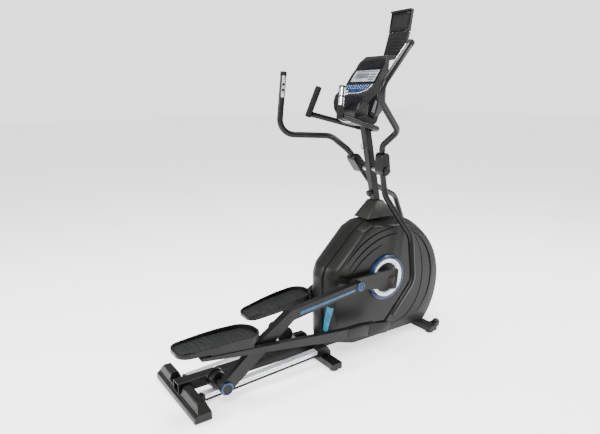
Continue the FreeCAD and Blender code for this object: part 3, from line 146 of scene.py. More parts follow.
def pen(name, points, closed=True):
    """A line drawn from point to point, each corner extruded from the one before it."""
    bpy.ops.object.select_all(action="DESELECT")
    bpy.ops.mesh.primitive_plane_add(size=MM, location=points[0] * MM)
    obj = bpy.context.object
    obj.name = name
    bpy.ops.object.mode_set(mode="EDIT")
    bpy.ops.mesh.select_all(action="SELECT")
    bpy.ops.mesh.merge(type="CENTER")
    stops = [*points, points[0]] if closed else points
    for here, there in zip(stops, stops[1:]):
        bpy.ops.mesh.extrude_region_move(TRANSFORM_OT_translate={"value": (there - here) * MM})
    bpy.ops.mesh.select_all(action="SELECT")
    bpy.ops.mesh.remove_doubles(threshold=MERGE_REACH)
    bpy.ops.object.mode_set(mode="OBJECT")
    return obj


def press_on(obj, modifier, **settings):
    """Adds a modifier and applies it."""
    made = obj.modifiers.new(modifier.title(), modifier)
    for key, value in settings.items():
        setattr(made, key, value)
    bpy.ops.object.select_all(action="DESELECT")
    obj.select_set(True)
    bpy.context.view_layer.objects.active = obj
    bpy.ops.object.modifier_apply(modifier=made.name)
    return obj


def edges_softened(obj, width):
    return press_on(obj, "BEVEL", width=width * MM, segments=2, limit_method="ANGLE",
                    angle_limit=CREASE)


def slab(name, points, depth, bevel=0.0):
    """A filled outline extruded by depth, with softened edges."""
    obj = pen(name, points)
    bpy.ops.object.mode_set(mode="EDIT")
    bpy.ops.mesh.select_all(action="SELECT")
    bpy.ops.mesh.edge_face_add()
    bpy.ops.mesh.extrude_region_move(TRANSFORM_OT_translate={"value": Vector(depth) * MM})
    bpy.ops.mesh.select_all(action="SELECT")
    bpy.ops.mesh.normals_make_consistent(inside=False)
    bpy.ops.object.mode_set(mode="OBJECT")
    if bevel:
        edges_softened(obj, bevel)
    return obj


def loft(name, loops, bevel=0.0):
    """A closed skin over a row of loops with the same number of points."""
    parts = [pen(name, loop) for loop in loops]
    bpy.ops.object.select_all(action="DESELECT")
    for part in parts:
        part.select_set(True)
    bpy.context.view_layer.objects.active = parts[0]
    bpy.ops.object.join()
    obj = parts[0]
    bpy.ops.object.mode_set(mode="EDIT")
    bpy.ops.mesh.select_all(action="SELECT")
    bpy.ops.mesh.bridge_edge_loops()
    bpy.ops.mesh.select_all(action="SELECT")
    bpy.ops.mesh.fill_holes(sides=0)
    bpy.ops.mesh.normals_make_consistent(inside=False)
    bpy.ops.object.mode_set(mode="OBJECT")
    if bevel:
        edges_softened(obj, bevel)
    return obj


def turned(name, profile, centre, axis, steps=56):
    """A profile of (radius, along) points spun round an axis through centre."""
    axis = Vector(axis).normalized()
    out = axis.orthogonal().normalized()
    obj = pen(name, [Vector(centre) + out * r + axis * a for r, a in profile], closed=False)
    bpy.ops.object.mode_set(mode="EDIT")
    bpy.ops.mesh.select_all(action="SELECT")
    bpy.ops.mesh.spin(steps=steps, angle=2 * math.pi, center=Vector(centre) * MM, axis=axis)
    bpy.ops.mesh.select_all(action="SELECT")
    bpy.ops.mesh.remove_doubles(threshold=MERGE_REACH)
    bpy.ops.mesh.normals_make_consistent(inside=False)
    bpy.ops.object.mode_set(mode="OBJECT")
    return obj


def carve(obj, *cutters):
    """Cuts each closed cutter out of obj, and removes the cutter."""
    for cutter in cutters:
        press_on(obj, "BOOLEAN", object=cutter, operation="DIFFERENCE", solver="EXACT")
        bpy.data.objects.remove(cutter)
    return obj


def done(obj, body, material, *nodes, slot=None):
    """Settles a finished piece: place in its mesh, shading, finish, body and the nodes it stands for."""
    bpy.ops.object.select_all(action="DESELECT")
    obj.select_set(True)
    bpy.context.view_layer.objects.active = obj
    bpy.ops.object.transform_apply(location=True, rotation=True, scale=True)
    bpy.ops.object.shade_smooth_by_angle(angle=CREASE)
    obj.data.materials.clear()
    obj.data.materials.append(material)
    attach(obj, body)
    if nodes:
        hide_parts(*nodes)
    return obj


# ---------------------------------------------------------------- finishes

def colour(hex_value):
    """An sRGB hex colour as linear red, green, blue and alpha."""
    shares = [int(hex_value[k:k + 2], 16) / 255 for k in (1, 3, 5)]
    return (*[s / 12.92 if s <= 0.04045 else ((s + 0.055) / 1.055) ** 2.4 for s in shares], 1.0)


def add(tree, kind, feeds=None, **settings):
    """Adds a node: settings are its own values, feeds are links or values for its sockets."""
    made = tree.nodes.new(kind)
    for key, value in settings.items():
        setattr(made, key, value)
    for socket, value in (feeds or {}).items():
        if isinstance(value, bpy.types.NodeSocket):
            tree.links.new(value, made.inputs[socket])
        else:
            made.inputs[socket].default_value = value
    return made


PLASTIC_IOR = 1.5
PATCH_EDGES = (0.35, 0.65)
ROUGHNESS_SPREAD = 0.06
BUMP_STRENGTH = 0.35


def finish(name, dark, light, roughness, grain, relief, patch, metallic=0.0, gloss=0.2,
           stretch=(1, 1, 1)):
    """A surface of two near colours in soft patches, with a fine grain; sizes in millimetres."""
    material = bpy.data.materials.new(name)
    material.use_nodes = True
    tree = material.node_tree
    shader = tree.nodes["Principled BSDF"]
    shader.inputs["Metallic"].default_value = metallic
    if not metallic:
        shader.inputs["IOR"].default_value = PLASTIC_IOR
        shader.inputs["Specular IOR Level"].default_value = gloss
    place = add(tree, "ShaderNodeTexCoord").outputs["Object"]
    drawn = add(tree, "ShaderNodeMapping", {"Vector": place, "Scale": stretch}).outputs[0]
    patches = add(tree, "ShaderNodeTexNoise", {"Vector": drawn, "Scale": 1 / (patch * MM),
                                               "Detail": 3.0}).outputs["Fac"]
    mix = add(tree, "ShaderNodeValToRGB", {"Fac": patches})
    for stop, edge, shade in zip(mix.color_ramp.elements, PATCH_EDGES, (dark, light)):
        stop.position = edge
        stop.color = colour(shade)
    tree.links.new(mix.outputs["Color"], shader.inputs["Base Color"])
    fine = add(tree, "ShaderNodeTexNoise", {"Vector": drawn, "Scale": 1 / (grain * MM),
                                            "Detail": 2.0}).outputs["Fac"]
    worn = add(tree, "ShaderNodeMapRange", {"Value": fine,
                                            "To Min": roughness - ROUGHNESS_SPREAD,
                                            "To Max": roughness + ROUGHNESS_SPREAD})
    tree.links.new(worn.outputs["Result"], shader.inputs["Roughness"])
    bump = add(tree, "ShaderNodeBump", {"Height": fine, "Strength": BUMP_STRENGTH,
                                        "Distance": relief * MM})
    tree.links.new(bump.outputs["Normal"], shader.inputs["Normal"])
    return material


# Polypropylene housing, spark-eroded mould: a warm near-black with a soft satin sheen.
HOUSING = finish("polypropylene_housing", "#0e0e0d", "#151513", 0.40, 1.6, 0.10, patch=160)
# The same plastic in a lighter charcoal, moulded a little rougher.
CHARCOAL = finish("polypropylene_charcoal", "#1c1c1b", "#262624", 0.42, 1.4, 0.10, patch=90)
# ABS, textured mould: neutral black with small broken highlights.
ABS_BLACK = finish("abs_textured_black", "#0b0b0c", "#121213", 0.38, 1.2, 0.10, patch=60)
# Smooth ABS, gloss mould: black with clear highlights.
ABS_GLOSS = finish("abs_gloss_black", "#070708", "#0c0c0e", 0.16, 3.0, 0.03, patch=90)
# Powder coat on steel tube: slight orange peel, so highlights are broad and a little wavy.
POWDER = finish("powder_coat_black", "#0a0a0b", "#111112", 0.34, 2.4, 0.12, patch=120)
# Moulded grey plastic of the console's side cheeks.
ABS_GREY = finish("abs_grey", "#3f4145", "#4c4e53", 0.40, 1.3, 0.08, patch=50)
# Chrome plate on steel strip: bright, with a faint drawn line along it.
CHROME = finish("chrome_plate", "#d4d8dc", "#f2f5f8", 0.28, 6.0, 0.02, patch=40, metallic=0.7,
                stretch=(0.1, 1, 1))
# Zinc plated steel: grey, slightly cloudy.
ZINC = finish("zinc_plated_steel", "#8b8e92", "#a6a9ad", 0.34, 2.0, 0.04, patch=14, metallic=1.0)
# Metallic blue paint under clear coat.
BLUE = finish("metallic_blue_paint", "#04263f", "#073d60", 0.30, 1.0, 0.02, patch=24,
              metallic=0.25)
# Brighter teal of the paint on the housing's stripes.
TEAL = finish("metallic_teal_paint", "#065676", "#0d7896", 0.32, 1.0, 0.02, patch=30,
              metallic=0.15)
# Darker blue paint of the crank rings.
DEEP_BLUE = finish("deep_blue_paint", "#04162c", "#08284c", 0.28, 1.0, 0.02, patch=28,
                   metallic=0.25)
# Pearl white moulding with a smooth gloss.
PEARL = finish("pearl_white_abs", "#dfe6ee", "#f2f5f8", 0.25, 2.0, 0.02, patch=60)
# Moulded rubber, matt, with a dusty bloom.
RUBBER = finish("moulded_rubber", "#090909", "#101010", 0.72, 1.5, 0.20, patch=20)
# Closed-cell foam sleeve: pitted and matt; the cells are drawn at 1.6 mm so that they show.
FOAM = finish("closed_cell_foam", "#0c0c0d", "#151516", 0.85, 1.6, 0.60, patch=8)
# Stainless sensor strip, brushed round the bar.
BRUSHED = finish("brushed_stainless", "#b4b8bc", "#d8dbde", 0.25, 0.8, 0.03, patch=6,
                 metallic=1.0, stretch=(3, 3, 0.4))
# Silver paint on ABS: fine bright flake, less sharp than plating.
SILVER = finish("silver_painted_abs", "#a9adb1", "#c9ccd0", 0.32, 0.9, 0.02, patch=12,
                metallic=0.7)
# Polycarbonate window of the display in front of a switched-off liquid crystal panel.
DISPLAY = finish("polycarbonate_display", "#6d7375", "#8b9091", 0.20, 5.0, 0.01, patch=30)
# Printed membrane of the keypad, matt.
KEYPAD_BLUE = finish("printed_membrane_blue", "#061a38", "#09284e", 0.52, 2.0, 0.02, patch=30,
                     gloss=0.1)
# Cast iron, machined and left dull.
IRON = finish("cast_iron", "#3b3c3e", "#55575a", 0.45, 1.5, 0.10, patch=12, metallic=0.9)
# Tread plate of the pedals: a lighter grey, matt rubbery plastic.
TREAD = finish("thermoplastic_tread", "#101111", "#191a1a", 0.55, 1.5, 0.25, patch=25)
# Polyurethane roller: dark, a little shiny where it runs.
URETHANE = finish("polyurethane", "#0b0b0d", "#131316", 0.32, 2.0, 0.05, patch=20)
# Brass bush seen beside the rollers.
BRASS = finish("brass", "#a8813a", "#c79d4f", 0.28, 1.5, 0.03, patch=8, metallic=1.0)
# Baked enamel of the cranks.
PAINT_CRANK = finish("enamel_dark", "#11100e", "#1a1815", 0.33, 2.0, 0.06, patch=60)
# Ribbed rubber of the drive belt.
BELT = finish("ribbed_belt_rubber", "#080808", "#0f0f0f", 0.65, 1.0, 0.15, patch=12)
# White keys and markings on the console.
WHITE_PRINT = finish("white_printed_abs", "#dcdfe2", "#eceeef", 0.35, 1.5, 0.02, patch=20)

SLOT_FINISH = {
    "black_frame": POWDER, "grey_plastic": HOUSING, "black_plastic": ABS_BLACK,
    "rubber_feet": RUBBER, "chrome_rail": CHROME, "steel": ZINC, "blue_trim": DEEP_BLUE,
    "white_trim": PEARL, "belt_rubber": BELT, "screen": DISPLAY, "blue_panel": KEYPAD_BLUE,
    "foam": FOAM, "sensor_steel": BRUSHED, "crank_paint": PAINT_CRANK,
    "flywheel_iron": IRON, "wheel_plastic": URETHANE, "key_plastic": ABS_GLOSS,
    "roller_plastic": URETHANE, "pedal_plastic": ABS_BLACK, "silver_plate": SILVER}

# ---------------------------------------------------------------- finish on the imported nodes

NODE_CREASE = math.radians(38)
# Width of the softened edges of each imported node.
SOFT_EDGES = {
    "rear_stabiliser_cover": 6, "console_shell": 5, "tablet_stand": 2.5, "tablet_clamp": 2,
    "right_crank": 3, "left_crank": 3, "right_link": 3.5, "left_link": 3.5,
    "right_pedal_arm": 4, "left_pedal_arm": 4, "right_pedal": 2.5, "left_pedal": 2.5,
    "right_swing_arm": 2, "left_swing_arm": 2, "mast": 4, "base_beam": 3,
    "rear_stabiliser": 3, "front_stabiliser": 3, "stabiliser_caps": 3, "rail_supports": 1.5,
    "rails": 1.2, "mast_fittings": 1.5, "right_handlebar": 1, "left_handlebar": 1}

for node_name, node in NODES.items():
    for holder in node.material_slots:
        slot_name = holder.material.name.split(".")[0] if holder.material else "black_plastic"
        holder.material = SLOT_FINISH.get(slot_name, ABS_BLACK)
    if not node.material_slots:
        node.data.materials.append(ABS_BLACK)
    if node_name in SOFT_EDGES:
        weld = node.modifiers.new("Weld", "WELD")
        weld.merge_threshold = 2 * MERGE_REACH
        bevel = node.modifiers.new("Bevel", "BEVEL")
        bevel.width = SOFT_EDGES[node_name] * MM
        bevel.segments = 2
        bevel.limit_method = "ANGLE"
        bevel.angle_limit = NODE_CREASE
        bevel.harden_normals = False

# ---------------------------------------------------------------- housing

HOUSING_CENTRE = (447.5, 316)
SHELL_RADIUS = 363.0
BAND_STEP = 34.0
HOUSING_FLOOR = 60.0
ROUND_TOP = 78
# Corners behind the round front: each at the side panel's edge, at the spine, and its radius.
REAR_CORNERS = (((300, 690), (300, 717), 40), ((240, 662), (230, 689), 60),
                ((68, 490), (21, 490), 60), ((50, 440), (3, 440), 40),
                ((50, 94), (3, 94), 20), ((160, 60), (113, 60), 40))


def housing(share, y):
    """The housing's outline at y; share 0 is the side panel's edge and 1 the spine's."""
    radius = SHELL_RADIUS + BAND_STEP * share
    low = math.degrees(math.asin((HOUSING_FLOOR - HOUSING_CENTRE[1]) / radius))
    rim = arc(HOUSING_CENTRE, radius, low, ROUND_TOP, 40)
    corners = [(a[0] + (b[0] - a[0]) * share, a[1] + (b[1] - a[1]) * share, r)
               for a, b, r in REAR_CORNERS]
    fillets = rounded([(*rim[-1], 1), *corners, (*rim[0], 1)])
    # the first and last fillets only repeat the rim's own ends
    return upright(rim + fillets[6:-6], y)


def round_front(radius_at, start, end):
    """A line round the housing's centre, whose radius follows its angle in degrees."""
    return [(HOUSING_CENTRE[0] + radius_at(t) * math.cos(math.radians(t)),
             HOUSING_CENTRE[1] + radius_at(t) * math.sin(math.radians(t)))
            for t in range(start, end, 6)]


spine = loft("housing_spine", [housing(s, y) for y, s in (
    (-36.5, 0.90), (-30, 0.98), (-14, 1.0), (14, 1.0), (30, 0.98), (36.5, 0.90))])
done(spine, "frame", HOUSING, "shroud_band", slot="grey_plastic")

# Grooves that sweep up over the side panel, then the two that follow its round front.
SWOOSHES = (
    [(98, 540), (150, 596), (214, 650), (300, 690), (400, 700)],
    [(118, 512), (180, 572), (255, 620), (340, 650), (440, 664)],
    [(128, 470), (196, 536), (278, 588), (372, 620), (470, 628)],
    [(150, 446), (214, 506), (290, 552), (370, 580)],
    [(62, 462), (120, 440), (190, 432), (258, 446)],
    [(62, 430), (124, 410), (190, 404), (240, 414)])
RIM_GROOVE = round_front(lambda t: 275 + 61 * (t + 42) / 107, -44, 82)
FACE_GROOVE = round_front(lambda t: 218 + 7.8e-5 * (t + 50) ** 3, -88, 70)

# Distance from the middle of each step of the side panel, and its share of the way to the spine.
SIDE_STEPS = ((37.2, 0.72), (60, 0.62), (86, 0.26), (97, 0.06), (102, -0.12), (104.5, -0.34))
for side_name, side in SIDES:
    panel = loft(f"{side_name}_housing_side", [housing(s, side * y) for y, s in SIDE_STEPS])
    grooves = [slab("groove", upright(ribbon(flowing(line), width), side * 110),
                    (0, -side * deep, 0))
               for line, width, deep in (
                   *[(line, 12 - k, 12.5 - 0.5 * k) for k, line in enumerate(SWOOSHES)],
                   (RIM_GROOVE, 11, 13), (FACE_GROOVE, 7, 10))]
    carve(panel, *grooves)
    done(panel, "frame", HOUSING, f"{side_name}_shroud", slot="grey_plastic")

# The collar round the mast narrows from its foot to its top.
collar_low = [(292, 719), (500, 719)]
collar_high = [(367, 806), (427, 806)]
low_half, high_half = 62, 39
collar_loops = []
for share in (0.0, 0.5, 1.0):
    ends = [Vector(a).lerp(Vector(b), share) for a, b in zip(collar_low, collar_high)]
    half = low_half + (high_half - low_half) * share
    ring = rounded([(ends[0].x, -half, 16), (ends[1].x, -half, 16),
                    (ends[1].x, half, 16), (ends[0].x, half, 16)])
    collar_loops.append([Vector((x, y, ends[0].y)) for x, y in ring])
done(loft("housing_collar", collar_loops, bevel=3), "frame", CHARCOAL, "shroud_collar")


def chamfer_x(y):
    """How far forward the housing's lower rear face is at a distance y from the middle."""
    for (near, near_share), (far, far_share) in zip(SIDE_STEPS, SIDE_STEPS[1:]):
        if near <= y <= far:
            share = near_share + (far_share - near_share) * (y - near) / (far - near)
            panel_x, spine_x = REAR_CORNERS[3][0][0], REAR_CORNERS[3][1][0]
            return panel_x + share * (spine_x - panel_x)


# Painted stripe across the chamfer between the housing's rear face and side, low down.
for side_name, side in SIDES:
    stripe_loops = []
    for y_near, y_far, z in ((38, 66, 150), (46, 76, 205), (55, 86, 250), (63, 94, 290)):
        across = [y_near + (y_far - y_near) * k / 6 for k in range(7)]
        front = [Vector((chamfer_x(y) - 1.6, side * (y + 1.2), z - 0.2 * (y - y_near)))
                 for y in across]
        behind = [Vector((chamfer_x(y) + 4, side * (y - 4), z - 0.2 * (y - y_near)))
                  for y in across]
        stripe_loops.append(front + behind[::-1])
    stripe = loft(f"{side_name}_housing_stripe", stripe_loops)
    done(stripe, "frame", TEAL, slot="blue_trim")

# ---------------------------------------------------------------- rings round the crank axle

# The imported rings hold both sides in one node, so the right pieces stand for them.
RING_NODES = {"right": (["ring_trims"], ["ring_liners"]), "left": ([], [])}
crank_middle = on_centreline(joint_place("crank_turn"))
for side_name, side in SIDES:
    outward = (0, side, 0)
    trim_nodes, liner_nodes = RING_NODES[side_name]
    outer = turned(f"{side_name}_axle_ring_blue",
                   [(105, 104), (106, 116), (109, 119), (120, 118.5), (127, 113), (129, 104)],
                   crank_middle, outward, 72)
    inner = turned(f"{side_name}_axle_ring_white",
                   [(82, 104), (83, 110), (86, 113.5), (99, 117), (105.5, 117.5), (105.5, 104)],
                   crank_middle, outward, 72)
    done(outer, "frame", DEEP_BLUE, *trim_nodes, slot="blue_trim")
    done(inner, "frame", PEARL, *liner_nodes, slot="white_trim")

# ---------------------------------------------------------------- linkage trims

PEDAL_LENGTH, PEDAL_HALF_WIDTH, PEDAL_MIDDLE = 402.0, 86.0, 141
PEDAL_RISE = math.radians(4)
TRAY_RIM, TRAY_FLOOR = 11.5, 11.5

for side_name, side in SIDES:
    roller = joint_place(f"{side_name}_link_pivot")
    pin = centre_of(f"{side_name}_pin_cap")
    on_link = tilted(roller, math.atan2(pin.z - roller.z, pin.x - roller.x))
    stripe_outline = rounded([(462, 84, 4), (790, -2, 7), (796, 11, 7), (468, 102, 7)])
    stripe = slab(f"{side_name}_link_stripe",
                  [on_link(u, v, side * 191.5) for u, v in stripe_outline],
                  (0, side * 2.5, 0), bevel=0.8)
    done(stripe, f"{side_name}_link", BLUE, slot="blue_trim")
    cap_ring = turned(f"{side_name}_pin_cap_ring",
                      [(15, 191.5), (15, 197), (17, 198.5), (22, 198), (24, 195), (24, 191.5)],
                      on_centreline(pin), (0, side, 0), 40)
    done(cap_ring, f"{side_name}_link", BLUE, f"{side_name}_pin_cap", slot="blue_trim")
    cap_centre = turned(f"{side_name}_pin_cap_centre",
                        [(0, 191.5), (15, 191.5), (15, 195.5), (10, 197), (0, 197.4)],
                        on_centreline(pin), (0, side, 0), 32)
    done(cap_centre, f"{side_name}_link", DEEP_BLUE, slot="blue_trim")
    axle_ring = turned(f"{side_name}_roller_cap_ring",
                       [(22, 199), (22, 202), (25, 203.5), (28.5, 203), (30.5, 200),
                        (30.5, 196), (29, 196), (28, 199)],
                       on_centreline(roller), (0, side, 0), 48)
    done(axle_ring, f"{side_name}_carriage", BLUE, slot="blue_trim")

    pedal_pivot = joint_place(f"{side_name}_pedal_arm_pivot")
    tilt = ARM_TILT[side_name]
    on_arm = tilted(pedal_pivot, tilt)
    for part_name, outline in (
            ("arm_cover_rear", rounded([(470, -24, 6), (603, -31, 3), (603, 32, 3), (470, 24, 6)])),
            ("arm_cover_front", rounded([(607, -31, 3), (738, -33, 24), (752, -8, 18),
                                         (748, 26, 22), (607, 33, 3)]))):
        cover = slab(f"{side_name}_{part_name}",
                     [on_arm(u, v, side * 226) for u, v in outline], (0, side * 6.5, 0),
                     bevel=2)
        done(cover, f"{side_name}_pedal_arm", ABS_BLACK, slot="black_plastic")
    saddle = slab(f"{side_name}_arm_saddle",
                  [on_arm(u, v, side * 199) for u, v in rounded(
                      [(470, 18, 4), (650, 22, 4), (650, 33, 8), (560, 33, 12), (470, 25, 8)])],
                  (0, side * 32, 0), bevel=2)
    done(saddle, f"{side_name}_pedal_arm", ABS_BLACK, slot="black_plastic")

    # Tread of the pedal: a grooved mat laid in the tray.
    toe = on_arm(-14, 42, 0)
    pitch = tilt + PEDAL_RISE
    heel = toe - Vector((PEDAL_LENGTH * math.cos(pitch), 0, PEDAL_LENGTH * math.sin(pitch)))
    on_pedal = tilted(heel, pitch)
    mat_half, mat_end = PEDAL_HALF_WIDTH - TRAY_RIM, PEDAL_LENGTH - TRAY_RIM
    mat_outline = rounded([(TRAY_RIM, -39, 24), (165, -mat_half, 120), (mat_end, -mat_half, 60),
                           (mat_end, mat_half, 60), (165, mat_half, 120), (TRAY_RIM, 39, 24)], 8)
    mat = slab(f"{side_name}_pedal_tread",
               [on_pedal(u, TRAY_FLOOR, side * PEDAL_MIDDLE + w) for u, w in mat_outline],
               on_pedal(0, 4.5, 0) - on_pedal(0, 0, 0), bevel=1)
    cutters = []
    for k in range(13):
        u = 44 + 26 * k
        cutters.append(slab("groove", [on_pedal(a, 14.9, side * PEDAL_MIDDLE + w) for a, w in (
            (u, -70), (u + 5, -70), (u + 19, 0), (u + 5, 70), (u, 70), (u + 14, 0))],
            on_pedal(0, 4.0, 0) - on_pedal(0, 0, 0)))
    carve(mat, *cutters)
    done(mat, f"{side_name}_pedal_arm", TREAD, slot="pedal_plastic")

for side_name, side in SIDES:
    hub_cap = turned(f"{side_name}_crank_hub_cap",
                     [(0, 150), (22, 150), (22, 152.5), (19, 154), (8, 154.6), (0, 154.6)],
                     crank_middle, (0, side, 0), 40)
    done(hub_cap, "crank", PAINT_CRANK, slot="crank_paint")

# ---------------------------------------------------------------- handle tops

# A button's middle stands this far off the middle of its handle's tube.
BUTTON_LIFT = 19.9
BUTTON_STEP = 28
# Opening round each button on the handles and each key on the console.
WELL_RADIUS = 6.4

for side_name, side in SIDES:
    low_button = centre_of(f"{side_name}_button_1")
    high_button = centre_of(f"{side_name}_button_2")
    run = (high_button - low_button).normalized()
    out = -Vector(JOINTS[f"{side_name}_button_1_press"]["axis"]).normalized()
    across = run.cross(out).normalized()
    tube_middle = low_button - out * BUTTON_LIFT

    def on_handle(up, over, lift):
        """A point by the handle: up it from the low button, across it, and out from its middle."""
        return tube_middle + run * up + across * over + out * lift

    face_plate = slab(f"{side_name}_button_face", [on_handle(a, b, 13.5) for a, b in rounded(
        [(-38, -8, 7), (-38, 8, 7), (72, 8, 7), (72, -8, 7)])],
        on_handle(0, 0, 4.3) - on_handle(0, 0, 0), bevel=1.0)
    wells = [slab("cut", [on_handle(BUTTON_STEP * k + a, b, 8) for a, b in circle(WELL_RADIUS)],
                  on_handle(0, 0, 14) - on_handle(0, 0, 0)) for k in (0, 1)]
    carve(face_plate, *wells)
    done(face_plate, f"{side_name}_swing_arm", SILVER, f"{side_name}_button_plate",
         slot="silver_plate")
    plug = turned(f"{side_name}_handle_plug",
                  [(0, 72), (17.4, 72), (17.4, 88), (15.5, 91.5), (9, 93), (0, 93)],
                  tube_middle, run, 36)
    done(plug, f"{side_name}_swing_arm", RUBBER, slot="rubber_feet")

# Foam sleeves on the fixed handlebar, with rolled ends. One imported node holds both.
GRIP_NODES = {"right": ["fixed_grips"], "left": []}
for side_name, side in SIDES:
    grip_run = Vector((42, -35 * side, 139)).normalized()
    grip_foot = Vector((47.5, 128 * side, 1275)) - grip_run * 18
    sleeve = turned(f"{side_name}_fixed_grip",
                    [(0, 0), (12, 0), (14.8, 1.2), (15.8, 4), (16, 20), (16, 142), (15.8, 158),
                     (14.8, 160.8), (12, 162), (0, 162)], grip_foot, grip_run, 48)
    done(sleeve, "frame", FOAM, *GRIP_NODES[side_name], slot="foam")

# ---------------------------------------------------------------- console

def on_face(low, high):
    """A point on a sloping console face: along it from its lower edge, across at y, lifted off it."""
    way = (Vector(high) - Vector(low)).normalized()

    def spot(along, y, lift=0.0):
        return Vector((low[0] + way.x * along - way.y * lift, y,
                       low[1] + way.y * along + way.x * lift))
    return spot


def plaque(name, face, outline, low, high, bevel=0.0):
    """A flat piece lying on a console face between two heights over it."""
    depth = face(0, 0, high) - face(0, 0, low)
    return slab(name, [face(a, y, low) for a, y in outline], depth, bevel)


# The console's sloping faces, from the display down to the chin.
screen_face = on_face((280, 1422), (372, 1548))
keys_face = on_face((208, 1366), (280, 1422))
bowl_face = on_face((180, 1285), (208, 1366))
chin_face = on_face((200, 1228), (180, 1285))

hood = plaque("console_hood", screen_face, rounded(
    [(92, -104, 10), (150, -104, 34), (150, 104, 34), (92, 104, 10)]), -1, 3.0, 1.2)
vent = slab("cut", [screen_face(a, y, 1.2) for a, y in rounded(
    [(104, -74, 8), (138, -66, 12), (138, 66, 12), (104, 74, 8)])],
    screen_face(0, 0, 6) - screen_face(0, 0, 1.2))
carve(hood, vent)
done(hood, "frame", ABS_GLOSS, slot="black_plastic")
for k in range(5):
    bar = plaque(f"console_vent_bar_{k + 1}", screen_face, rounded(
        [(107 + 6.4 * k, -70, 1.5), (109.6 + 6.4 * k, -70, 1.5),
         (109.6 + 6.4 * k, 70, 1.5), (107 + 6.4 * k, 70, 1.5)], 2), 0.4, 2.6, 0.4)
    done(bar, "frame", ABS_BLACK, slot="black_plastic")
for line_name, inset, low, high, wide, material in (
        ("console_screen_bezel", 0, -3, 2.6, 5, ABS_GLOSS),
        ("console_screen_rim", 6, -3, -0.2, 1.6, SILVER)):
    frame_edge = [(8 + inset, -101 + inset), (88 - inset, -96 + inset),
                  (88 - inset, 96 - inset), (8 + inset, 101 - inset)]
    for k, here in enumerate(frame_edge):
        there = frame_edge[(k + 1) % 4]
        rail = plaque(f"{line_name}_{k + 1}", screen_face,
                      ribbon([here, there], wide, ends=1.0), low, high, 0.4)
        done(rail, "frame", material, slot="black_plastic")
lcd = plaque("console_lcd", screen_face, rounded(
    [(12, -95, 4), (84, -91, 4), (84, 91, 4), (12, 95, 4)]), -3.0, -1.6, 0.3)
done(lcd, "frame", DISPLAY, "console_screen", slot="screen")
for field_name, low, high, near, far in (
        ("console_lcd_window", 34, 66, -28, 72), ("console_lcd_field_1", 20, 30, -80, -36),
        ("console_lcd_field_2", 36, 46, -80, -36), ("console_lcd_field_3", 52, 62, -80, -36),
        ("console_lcd_bar", 72, 78, -80, 76)):
    field = plaque(field_name, screen_face, rounded(
        [(low, near, 2), (high, near, 2), (high, far, 2), (low, far, 2)], 2), -1.7, -1.2)
    done(field, "frame", ABS_GREY, slot="screen")

keypad = plaque("console_keypad", keys_face, rounded(
    [(20, -66, 26), (40, -97, 14), (84, -97, 4), (84, 97, 4), (40, 97, 14), (20, 66, 26)]),
    -3.0, 0.4, 0.5)
wells = [slab("cut", [keys_face(32 + a, y + b, -4) for a, b in circle(WELL_RADIUS)],
              keys_face(0, 0, 8) - keys_face(0, 0, 0)) for y in (-30, 30)]
carve(keypad, *wells)
done(keypad, "frame", KEYPAD_BLUE, "keypad_panel", slot="blue_panel")
for row, along in enumerate((52, 64, 76)):
    for k in range(9):
        y = -76 + 19 * k
        dot = turned(f"console_key_dot_{row + 1}_{k + 1}",
                     [(0, 0), (1.8, 0), (1.8, 0.7), (1.3, 1.1), (0, 1.2)],
                     keys_face(along, y, 0.2), keys_face(0, 0, 1) - keys_face(0, 0, 0), 12)
        done(dot, "frame", WHITE_PRINT, slot="white_trim")
white_key = plaque("console_white_key", keys_face, rounded(
    [(26, 44, 3), (34, 40, 3), (34, 78, 3), (29, 70, 3)]), 0.2, 1.8, 0.5)
done(white_key, "frame", WHITE_PRINT, slot="white_trim")
trim_line = flowing([(84, -101), (52, -102), (36, -95), (20, -70), (14, -40), (13, 0),
                     (14, 40), (20, 70), (36, 95), (52, 102), (84, 101)], 5)
trim = plaque("console_keypad_trim", keys_face, ribbon(trim_line, 3.4, ends=0.8), -1, 2.2, 0.5)
done(trim, "frame", CHROME, slot="chrome_rail")
white_strip = plaque("console_white_strip", keys_face, rounded(
    [(3, 18, 2), (8, 18, 2), (11, 72, 2), (6, 74, 2)]), -0.5, 1.6, 0.4)
done(white_strip, "frame", WHITE_PRINT, slot="white_trim")
bowl = plaque("console_bowl", bowl_face, rounded(
    [(6, -96, 24), (78, -112, 18), (78, 112, 18), (6, 96, 24)]), -1, 3.0, 1.5)
done(bowl, "frame", ABS_GLOSS, slot="black_plastic")
lip_line = flowing([(22, -70), (12, -54), (6, -26), (5, 0), (6, 26), (12, 54), (22, 70)], 5)
lip = plaque("console_chin_lip", chin_face, ribbon(lip_line, 4.0, ends=0.5), -2, 2.4, 0.6)
done(lip, "frame", CHROME, slot="chrome_rail")
for side_name, side in SIDES:
    cheek = slab(f"{side_name}_console_cheek", upright(rounded(
        [(222, 1262, 8), (268, 1246, 8), (296, 1300, 8), (296, 1372, 10), (246, 1338, 12)]),
        side * 117), (0, side * 4, 0), bevel=1.5)
    done(cheek, "frame", ABS_GLOSS, slot="black_plastic")
    strut = slab(f"{side_name}_console_strut", upright(rounded(
        [(250, 1286, 4), (268, 1276, 4), (288, 1330, 4), (276, 1342, 4)]), side * 120.5),
        (0, side * 2, 0), bevel=0.8)
    done(strut, "frame", ABS_GREY, slot="black_plastic")

# ---------------------------------------------------------------- tablet holder

holder_low = Vector((499, 0, 1572))
stand_lean, clamp_lean = math.radians(18), math.radians(10)
stand_top = 118.6


def plate_at(foot, lean):
    """Points on a leaning plate: up along it, across at y and lifted off its rear face."""
    along = Vector((math.sin(lean), 0, math.cos(lean)))
    off = Vector((-math.cos(lean), 0, math.sin(lean)))

    def spot(up, y, lift):
        return foot + along * up + Vector((0, y, 0)) + off * lift
    return spot


